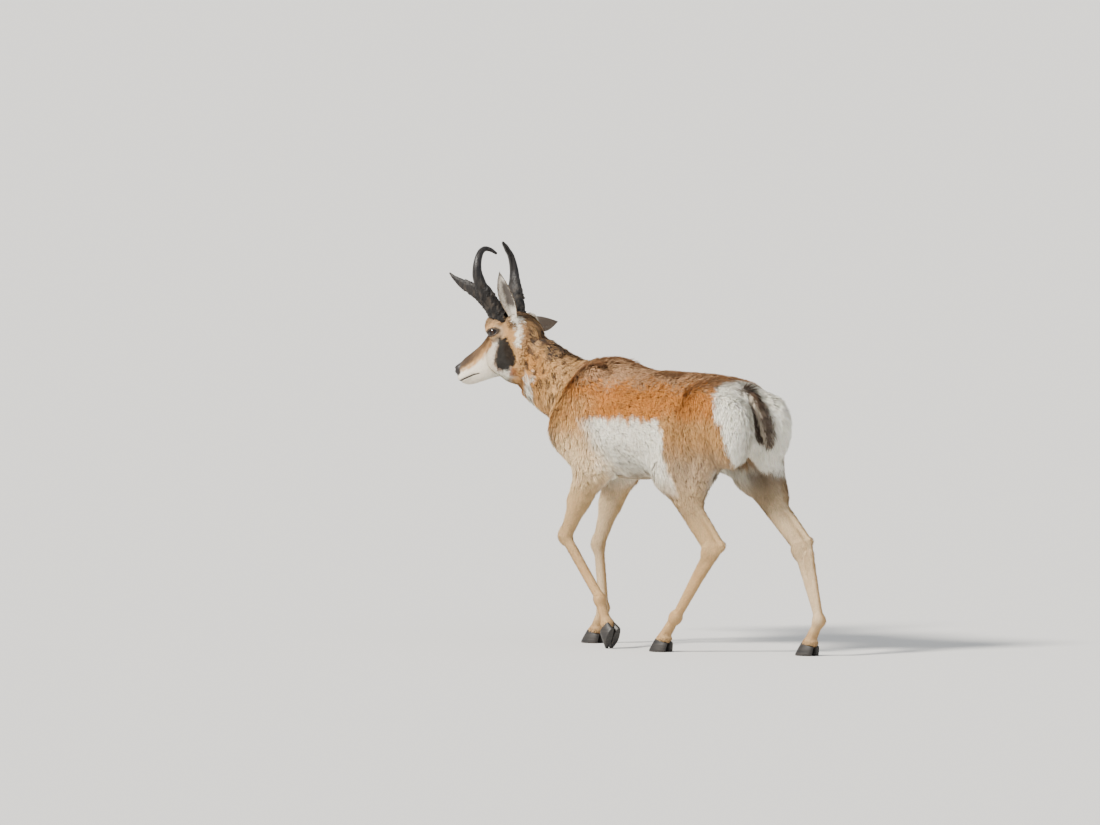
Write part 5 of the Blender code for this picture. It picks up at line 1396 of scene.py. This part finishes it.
# ---------------------------------------------------------------- horns
def beam_form(p, rows, s, flip):
    """A bent horn through rows of centre and two half sizes. Returns the form and how far along."""
    centres = np.array([from_level(a, s * o, u) for a, o, u in rows[:, :3]])
    tangent = unit_rows(np.gradient(centres, axis=0))
    ahead = LEVEL @ (np.array([0.0, 0.0, 1.0]) if flip else np.array([0.12 * s, 1.0, 0.0]))
    u = unit_rows(ahead - tangent * (tangent @ ahead)[:, None])
    v = np.cross(tangent, u)
    best = np.full(len(p), 9.0)
    along = np.zeros(len(p))
    for i in range(len(rows) - 1):
        a, b = centres[i], centres[i + 1]
        ab = b - a
        k = np.clip((p - a) @ ab / (ab @ ab), 0, 1)
        off = p - a - k[:, None] * ab
        deep, wide = rows[i, 3] + (rows[i + 1, 3] - rows[i, 3]) * k, rows[i, 4] + (rows[i + 1, 4] - rows[i, 4]) * k
        x, y = off @ u[i], off @ v[i]
        rest = off @ tangent[i]
        r = np.sqrt((x / deep) ** 2 + (y / wide) ** 2 + (rest / np.minimum(deep, wide)) ** 2)
        d = (r - 1) * np.minimum(deep, wide)
        closer = d < best
        best = np.where(closer, d, best)
        along = np.where(closer, (i + k) / (len(rows) - 1), along)
    return best, along


def horn_form(s):
    beam_rows = smooth_rows(horn_path(s), 44)
    prong_rows = smooth_rows(PRONG[s], 18)
    if s < 0:
        beam_rows[:, 4] *= 0.84

    def form(p):
        d, along = beam_form(p, beam_rows, s, False)
        e, far = beam_form(p, prong_rows, s, True)
        low = 1 - ramp(along, 0.45, 0.62)
        q = (p - HEAD_ORIGIN) @ LEVEL
        # rough bark below, with ridges that run up the horn, and burrs at the root
        ridge = np.sin(q[:, 0] * 520 + 3 * waves(p, 0.05, 61)) * np.sin(q[:, 1] * 430 + 2 * waves(p, 0.06, 62))
        rough = 0.0004 * ridge + 0.0003 * waves(p, 0.008, 63) + 0.0006 * waves(p * (1, 1, 0.40), 0.013, 64)
        burr = 0.0020 * ramp(waves(p, 0.009, 65), 0.35, 1.1) * (1 - ramp(along, 0.02, 0.14))
        knob = 0.0022 * ramp(waves(p * (1, 1, 0.6), 0.011, 66), 0.7, 1.3) * bump_at(along, 0.28, 0.09)
        point = ramp(far, 0.45, 0.80) * (e < d)
        d = blend(d, e, 0.010)
        return d - (low * rough + knob * low) * (1 - 0.8 * point) - burr - 0.0020 * ramp(along, 0.36, 0.52)

    return form


def make_horn(s, material):
    form = horn_form(s)
    path = np.array([from_level(a, s * o, u) for a, o, u, _, _ in horn_path(s) + PRONG[s]])
    points, quads = net(form, path.min(0) - 0.036, path.max(0) + 0.020, 0.0016 * COARSE)
    name = "horn_left" if s > 0 else "horn_right"
    obj = mesh_from(name + "_fine", points, quads)
    _, along = beam_form(points, smooth_rows(horn_path(s), 44), s, False)
    _, tip = beam_form(points, smooth_rows(PRONG[s], 18), s, True)
    put_value(obj.data, "Along", along)
    put_value(obj.data, "Prong", tip)
    obj.data.materials.append(material)
    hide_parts(name)
    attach(obj, "root")
    return obj


# ---------------------------------------------------------------- hooves
def make_hoof(s, kind, side, name, material, sides=30, levels=12):
    coronet = place(*(FORE_CORONET[s] if kind == "fore" else HIND_CORONET[s]))
    lifted = kind == "fore" and s == 1
    rings = []
    for i in range(levels + 1):
        h = i / levels
        grow = np.interp(h, (0, 0.10, 0.55, 1.0), (1.0, 1.03, 0.91, 0.76)) + 0.006 * np.sin(h * 34)
        lean = np.interp(h, (0, 0.10, 0.55, 1.0), (0.008, 0.008, 0.0, -0.008))
        ring = []
        for ahead, out in hoof_outline(side, grow, lean, sides):
            z = h * HOOF_HEIGHT * (1.0 - 0.30 * np.clip(-ahead / 0.033, 0, 1) * h)
            ring.append((ahead, out, z))
        rings.append(ring)
    if lifted:
        pitch = np.radians(66.0)
        rings = [[(a * np.cos(pitch) + z * np.sin(pitch), o, -a * np.sin(pitch) + z * np.cos(pitch)) for a, o, z in r] for r in rings]
        low = min(z for r in rings for _, _, z in r)
        flat = low + 0.0030
        rings = [[(a, o, max(z, flat) - flat) for a, o, z in r] for r in rings]
        top = np.mean(rings[-1], axis=0)
        base = (coronet[0], coronet[1] + top[0])
    else:
        base = (coronet[0], coronet[1] - 0.012)
    bm = bmesh.new()
    made = [[bm.verts.new((base[0] + s * o, base[1] - a, z)) for a, o, z in r] for r in rings]
    for r0, r1 in zip(made, made[1:]):
        for k in range(sides):
            j = (k + 1) % sides
            bm.faces.new((r0[k], r0[j], r1[j], r1[k]))
    bm.faces.new(made[0])
    bm.faces.new(made[-1])
    bmesh.ops.recalc_face_normals(bm, faces=bm.faces)
    for face in bm.faces:
        face.smooth = len(face.verts) == 4
    mesh = bpy.data.meshes.new(name + "_fine")
    bm.to_mesh(mesh)
    bm.free()
    obj = bpy.data.objects.new(name + "_fine", mesh)
    bpy.context.scene.collection.objects.link(obj)
    mesh.set_sharp_from_angle(angle=np.radians(50))
    obj.data.materials.append(material)
    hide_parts(name)
    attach(obj, "root")
    return obj


# ---------------------------------------------------------------- eyes
def make_eye(s, material):
    """A ball whose cornea bulges a little, with the colours of the eye on it."""
    name = "eye_left" if s > 0 else "eye_right"
    bm = bmesh.new()
    bmesh.ops.create_uvsphere(bm, u_segments=56, v_segments=40, radius=1.0)
    mesh = bpy.data.meshes.new(name + "_fine")
    bm.to_mesh(mesh)
    bm.free()
    unit_points = points_of(mesh)
    look = HEAD @ unit_rows(np.array([[s * 1.0, 0.20, 0.02]]))[0]
    level = np.cross(look, HEAD[:, 2])
    level /= np.linalg.norm(level)
    rise = np.cross(level, look)
    front = unit_points @ look
    swell = 1 + 0.045 * ramp(front, 0.70, 0.98)
    a, o, u = EYE_AT
    at = from_head(a, s * o, u)
    p = at + unit_points * (EYE_RADIUS * 0.985 * swell)[:, None]
    mesh.vertices.foreach_set("co", p.astype(np.float32).ravel())
    obj = bpy.data.objects.new(name + "_fine", mesh)
    bpy.context.scene.collection.objects.link(obj)
    mesh.polygons.foreach_set("use_smooth", np.ones(len(mesh.polygons), bool))
    # a wide level pupil in a dark brown iris, black-rimmed
    x, y = unit_points @ level, unit_points @ rise
    pupil = np.sqrt((x / 0.34) ** 2 + (y / 0.20) ** 2)
    iris = np.sqrt(x * x + y * y)
    c = np.tile(np.array((0.014, 0.0075, 0.0045)), (len(p), 1))
    c = tint(c, (0.030, 0.014, 0.007), bump_at(iris, 0.48, 0.12))
    c = tint(c, (0.004, 0.003, 0.003), 1 - ramp(pupil, 0.9, 1.15))
    c = tint(c, (0.006, 0.004, 0.004), ramp(iris, 0.58, 0.66) + (front < 0.3))
    put_colours(mesh, "Coat", c)
    obj.data.materials.append(material)
    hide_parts(name)
    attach(obj, "root")
    return obj


# ---------------------------------------------------------------- materials
def node_material(name):
    material = bpy.data.materials.new(name)
    material.use_nodes = True
    nodes, links = material.node_tree.nodes, material.node_tree.links
    nodes.clear()
    out = nodes.new("ShaderNodeOutputMaterial")
    shader = nodes.new("ShaderNodeBsdfPrincipled")
    links.new(shader.outputs["BSDF"], out.inputs["Surface"])
    return material, nodes, links, shader


def noise(nodes, links, scale, detail=4.0, stretch=(1, 1, 1), turned=(0, 0, 0)):
    where = nodes.new("ShaderNodeTexCoord")
    mapping = nodes.new("ShaderNodeMapping")
    mapping.inputs["Scale"].default_value = stretch
    mapping.inputs["Rotation"].default_value = turned
    links.new(where.outputs["Object"], mapping.inputs["Vector"])
    texture = nodes.new("ShaderNodeTexNoise")
    texture.inputs["Scale"].default_value = scale
    texture.inputs["Detail"].default_value = detail
    links.new(mapping.outputs["Vector"], texture.inputs["Vector"])
    return texture.outputs["Fac"]


def spread_to(nodes, links, value, low, high, from_low=0.3, from_high=0.7):
    node = nodes.new("ShaderNodeMapRange")
    links.new(value, node.inputs["Value"])
    node.inputs["From Min"].default_value = from_low
    node.inputs["From Max"].default_value = from_high
    node.inputs["To Min"].default_value = low
    node.inputs["To Max"].default_value = high
    return node.outputs["Result"]


def times(nodes, links, colour, value):
    node = nodes.new("ShaderNodeMix")
    node.data_type = "RGBA"
    node.blend_type = "MULTIPLY"
    node.inputs["Factor"].default_value = 1.0
    links.new(colour, node.inputs["A"])
    links.new(value, node.inputs["B"])
    return node.outputs["Result"]


def blend_colours(nodes, links, factor, a, b):
    node = nodes.new("ShaderNodeMix")
    node.data_type = "RGBA"
    if factor is not None:
        links.new(factor, node.inputs["Factor"])
    for value, slot in ((a, "A"), (b, "B")):
        if isinstance(value, tuple):
            node.inputs[slot].default_value = (*value, 1.0)
        else:
            links.new(value, node.inputs[slot])
    return node.outputs["Result"]


def bumped(nodes, links, shader, height, distance, strength=1.0):
    node = nodes.new("ShaderNodeBump")
    node.inputs["Distance"].default_value = distance
    node.inputs["Strength"].default_value = strength
    links.new(height, node.inputs["Height"])
    links.new(node.outputs["Normal"], shader.inputs["Normal"])


def coat_material(name, sheen=0.05, rough=0.66, fine=900.0):
    """Hair: mostly a plain surface, a little of it lit through from behind."""
    material, nodes, links, shader = node_material(name)
    colour = nodes.new("ShaderNodeVertexColor")
    colour.layer_name = "Coat"
    value = spread_to(nodes, links, noise(nodes, links, fine, 3.0), 0.86, 1.12)
    toned = times(nodes, links, colour.outputs["Color"], value)
    links.new(toned, shader.inputs["Base Color"])
    through = nodes.new("ShaderNodeBsdfTranslucent")
    links.new(toned, through.inputs["Color"])
    both = nodes.new("ShaderNodeMixShader")
    both.inputs["Fac"].default_value = 0.27
    links.new(shader.outputs["BSDF"], both.inputs[1])
    links.new(through.outputs["BSDF"], both.inputs[2])
    out = next(n for n in nodes if n.type == "OUTPUT_MATERIAL")
    links.new(both.outputs["Shader"], out.inputs["Surface"])
    links.new(spread_to(nodes, links, noise(nodes, links, 140.0, 2.0), rough - 0.07, rough + 0.09), shader.inputs["Roughness"])
    shader.inputs["Specular IOR Level"].default_value = 0.22
    shader.inputs["Sheen Weight"].default_value = sheen
    shader.inputs["Sheen Roughness"].default_value = 0.45
    bumped(nodes, links, shader, noise(nodes, links, fine * 1.4, 2.0), 0.0004, 0.5)
    return material


def skin_material():
    material, nodes, links, shader = node_material("skin_under_coat")
    colour = nodes.new("ShaderNodeVertexColor")
    colour.layer_name = "Coat"
    bare = nodes.new("ShaderNodeAttribute")
    bare.attribute_name = "Bare"
    value = spread_to(nodes, links, noise(nodes, links, 620.0, 4.0, (1.0, 0.45, 0.8)), 0.74, 1.16)
    links.new(times(nodes, links, colour.outputs["Color"], value), shader.inputs["Base Color"])
    rough = nodes.new("ShaderNodeMapRange")
    links.new(bare.outputs["Fac"], rough.inputs["Value"])
    rough.inputs["To Min"].default_value = 0.78
    rough.inputs["To Max"].default_value = 0.36
    links.new(rough.outputs["Result"], shader.inputs["Roughness"])
    shader.inputs["Specular IOR Level"].default_value = 0.35
    bumped(nodes, links, shader, noise(nodes, links, 850.0, 4.0, (1.0, 0.4, 0.8)), 0.0012, 0.7)
    return material


def horn_material():
    material, nodes, links, shader = node_material("horn_sheath")
    along = nodes.new("ShaderNodeAttribute")
    along.attribute_name = "Along"
    grain = noise(nodes, links, 90.0, 6.0, (2.2, 2.2, 0.16))
    spots = noise(nodes, links, 55.0, 5.0, (1.5, 1.5, 0.7))
    base = blend_colours(nodes, links, spread_to(nodes, links, grain, 0.0, 1.0, 0.42, 0.66), (0.0060, 0.0052, 0.0055), (0.026, 0.022, 0.020))
    bark = blend_colours(nodes, links, spread_to(nodes, links, spots, 0.0, 1.0, 0.46, 0.68), (0.0060, 0.0048, 0.0042), (0.046, 0.036, 0.028))
    low = spread_to(nodes, links, along.outputs["Fac"], 1.0, 0.0, 0.30, 0.52)
    links.new(blend_colours(nodes, links, low, base, bark), shader.inputs["Base Color"])
    rough = nodes.new("ShaderNodeMapRange")
    links.new(along.outputs["Fac"], rough.inputs["Value"])
    rough.inputs["From Min"].default_value = 0.25
    rough.inputs["From Max"].default_value = 0.60
    rough.inputs["To Min"].default_value = 0.62
    rough.inputs["To Max"].default_value = 0.34
    links.new(rough.outputs["Result"], shader.inputs["Roughness"])
    shader.inputs["Specular IOR Level"].default_value = 0.28
    bumped(nodes, links, shader, noise(nodes, links, 260.0, 6.0, (2.0, 2.0, 0.22)), 0.0014, 0.8)
    return material


def hoof_material():
    material, nodes, links, shader = node_material("hoof_horn")
    rings = noise(nodes, links, 70.0, 3.0, (0.25, 0.25, 5.0))
    base = blend_colours(nodes, links, spread_to(nodes, links, rings, 0.0, 1.0, 0.35, 0.65), (0.0060, 0.0050, 0.0045), (0.022, 0.0175, 0.0145))
    links.new(base, shader.inputs["Base Color"])
    links.new(spread_to(nodes, links, noise(nodes, links, 160.0), 0.42, 0.62), shader.inputs["Roughness"])
    bumped(nodes, links, shader, rings, 0.0010, 0.6)
    return material


def eye_material():
    material, nodes, links, shader = node_material("eye_ball")
    colour = nodes.new("ShaderNodeVertexColor")
    colour.layer_name = "Coat"
    value = spread_to(nodes, links, noise(nodes, links, 420.0, 3.0), 0.82, 1.18)
    links.new(times(nodes, links, colour.outputs["Color"], value), shader.inputs["Base Color"])
    links.new(spread_to(nodes, links, noise(nodes, links, 60.0, 1.0), 0.05, 0.09), shader.inputs["Roughness"])
    shader.inputs["Specular IOR Level"].default_value = 0.38
    bumped(nodes, links, shader, noise(nodes, links, 90.0, 1.0), 0.0001, 0.2)
    return material


# ---------------------------------------------------------------- putting it together
FLESH = ["trunk", "neck", "head", "tail", "ear_left", "ear_right"] + [
    f"{leg}_{part}_{side}" for leg in ("foreleg", "hindleg") for part in ("upper", "lower") for side in ("left", "right")
]


def build():
    skin = make_skin()
    skin.data.materials.append(skin_material())
    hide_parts(*FLESH)
    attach(skin, "root")

    coat = coat_material("coat_hair")
    short = coat_material("coat_short", 0.03, 0.68, 1300.0)
    f_of = lambda c: ORIGIN_F - c[:, 1]
    # forward from, forward to, part of the name, width over length, clumping, swirl in degrees
    stretches = (
        (0.400, 9.0, "neck", 0.056, 0.80, 16.0), (0.275, 0.400, "neck", 0.056, 0.80, 16.0),
        (0.075, 0.275, "trunk", 0.076, 0.45, 11.0), (-0.115, 0.075, "trunk", 0.076, 0.32, 9.0),
        (-0.315, -0.115, "trunk", 0.076, 0.38, 10.0), (-9.0, -0.315, "trunk", 0.080, 0.22, 6.0),
    )
    for i, (low, high, word, wide, clump, wild) in enumerate(stretches):
        keep = lambda c, a=low, b=high: (f_of(c) > a) & (f_of(c) <= b)
        target = 27500 if word == "neck" else 34500
        make_coat(f"coat_{word}_{i}", BODY, target, 100 + 10 * i, wide, clump, 0.018, wild, keep, None, coat)
    make_coat("coat_legs_fore", LEGS, 22500, 190, 0.17, 0.15, 0.010, 6.0, lambda c: c[:, 1] < 0.155, None, short)
    make_coat("coat_legs_hind", LEGS, 29000, 200, 0.17, 0.15, 0.010, 6.0, lambda c: c[:, 1] >= 0.155, None, short)
    finer = lambda c: 1 + 0.9 * ramp(in_head(c)[:, 1], 0.02, 0.12)
    make_coat("coat_head", FACE, 37000, 210, 0.155, 0.18, 0.008, 6.0, None, finer, short)
    ear_coat(short)

    horn = horn_material()
    hoof = hoof_material()
    eye = eye_material()
    for s in (1, -1):
        word = "left" if s > 0 else "right"
        make_horn(s, horn)
        make_eye(s, eye)
        for kind in ("fore", "hind"):
            for side, which in ((1, "outer"), (-1, "inner")):
                make_hoof(s, kind, side, f"hoof_{kind}_{word}_{which}", hoof)


def make_floor():
    mesh = bpy.data.meshes.new("floor")
    r = 400.0
    mesh.from_pydata([(-r, -r, 0), (r, -r, 0), (r, r, 0), (-r, r, 0)], [], [(0, 1, 2, 3)])
    obj = bpy.data.objects.new("floor", mesh)
    bpy.context.scene.collection.objects.link(obj)
    material, nodes, links, shader = node_material("floor_plain")
    shader.inputs["Base Color"].default_value = (0.62, 0.61, 0.59, 1)
    shader.inputs["Roughness"].default_value = 0.9
    shader.inputs["Specular IOR Level"].default_value = 0.2
    mesh.materials.append(material)


VIEW_AZIMUTH = np.radians(136.0)
VIEW_RISE = np.radians(3.0)
VIEW_AIM = Vector((0.0175, -0.370, 0.702))
VIEW_AWAY = 100.0


def make_camera():
    back = Vector((np.sin(VIEW_AZIMUTH) * np.cos(VIEW_RISE), -np.cos(VIEW_AZIMUTH) * np.cos(VIEW_RISE), np.sin(VIEW_RISE)))
    data = bpy.data.cameras.new("camera")
    camera = bpy.data.objects.new("camera", data)
    bpy.context.scene.collection.objects.link(camera)
    camera.location = VIEW_AIM + back * VIEW_AWAY
    camera.rotation_euler = back.to_track_quat("Z", "Y").to_euler()
    data.sensor_width = 36.0
    data.lens = 36.0 * VIEW_AWAY * 328.0 / 1100.0
    data.clip_start = 0.5
    data.clip_end = 1500.0
    bpy.context.scene.camera = camera
    return back


def sun(name, way, energy, angle, colour=(1, 1, 1)):
    data = bpy.data.lights.new(name, "SUN")
    data.energy = energy
    data.angle = np.radians(angle)
    data.color = colour
    obj = bpy.data.objects.new(name, data)
    bpy.context.scene.collection.objects.link(obj)
    obj.rotation_euler = Vector(way).to_track_quat("Z", "Y").to_euler()


def make_light(back):
    left = -Vector((np.cos(VIEW_AZIMUTH), np.sin(VIEW_AZIMUTH), 0.0))
    flat = Vector((back.x, back.y, 0.0)).normalized()
    # The key comes from the left of the view, low, and a little from the camera's side.
    sun("key", left * 0.80 + flat * 0.50 + Vector((0, 0, 0.78)), 8.6, 12.0, (1.0, 0.955, 0.88))
    sun("fill", flat * 0.9 - left * 0.5 + Vector((0, 0, 0.8)), 0.9, 60.0, (0.95, 0.97, 1.0))
    world = bpy.data.worlds.new("studio")
    bpy.context.scene.world = world
    world.use_nodes = True
    shade = world.node_tree.nodes["Background"]
    shade.inputs["Color"].default_value = (0.83, 0.87, 0.92, 1)
    shade.inputs["Strength"].default_value = 0.80


build()
make_floor()
make_light(make_camera())
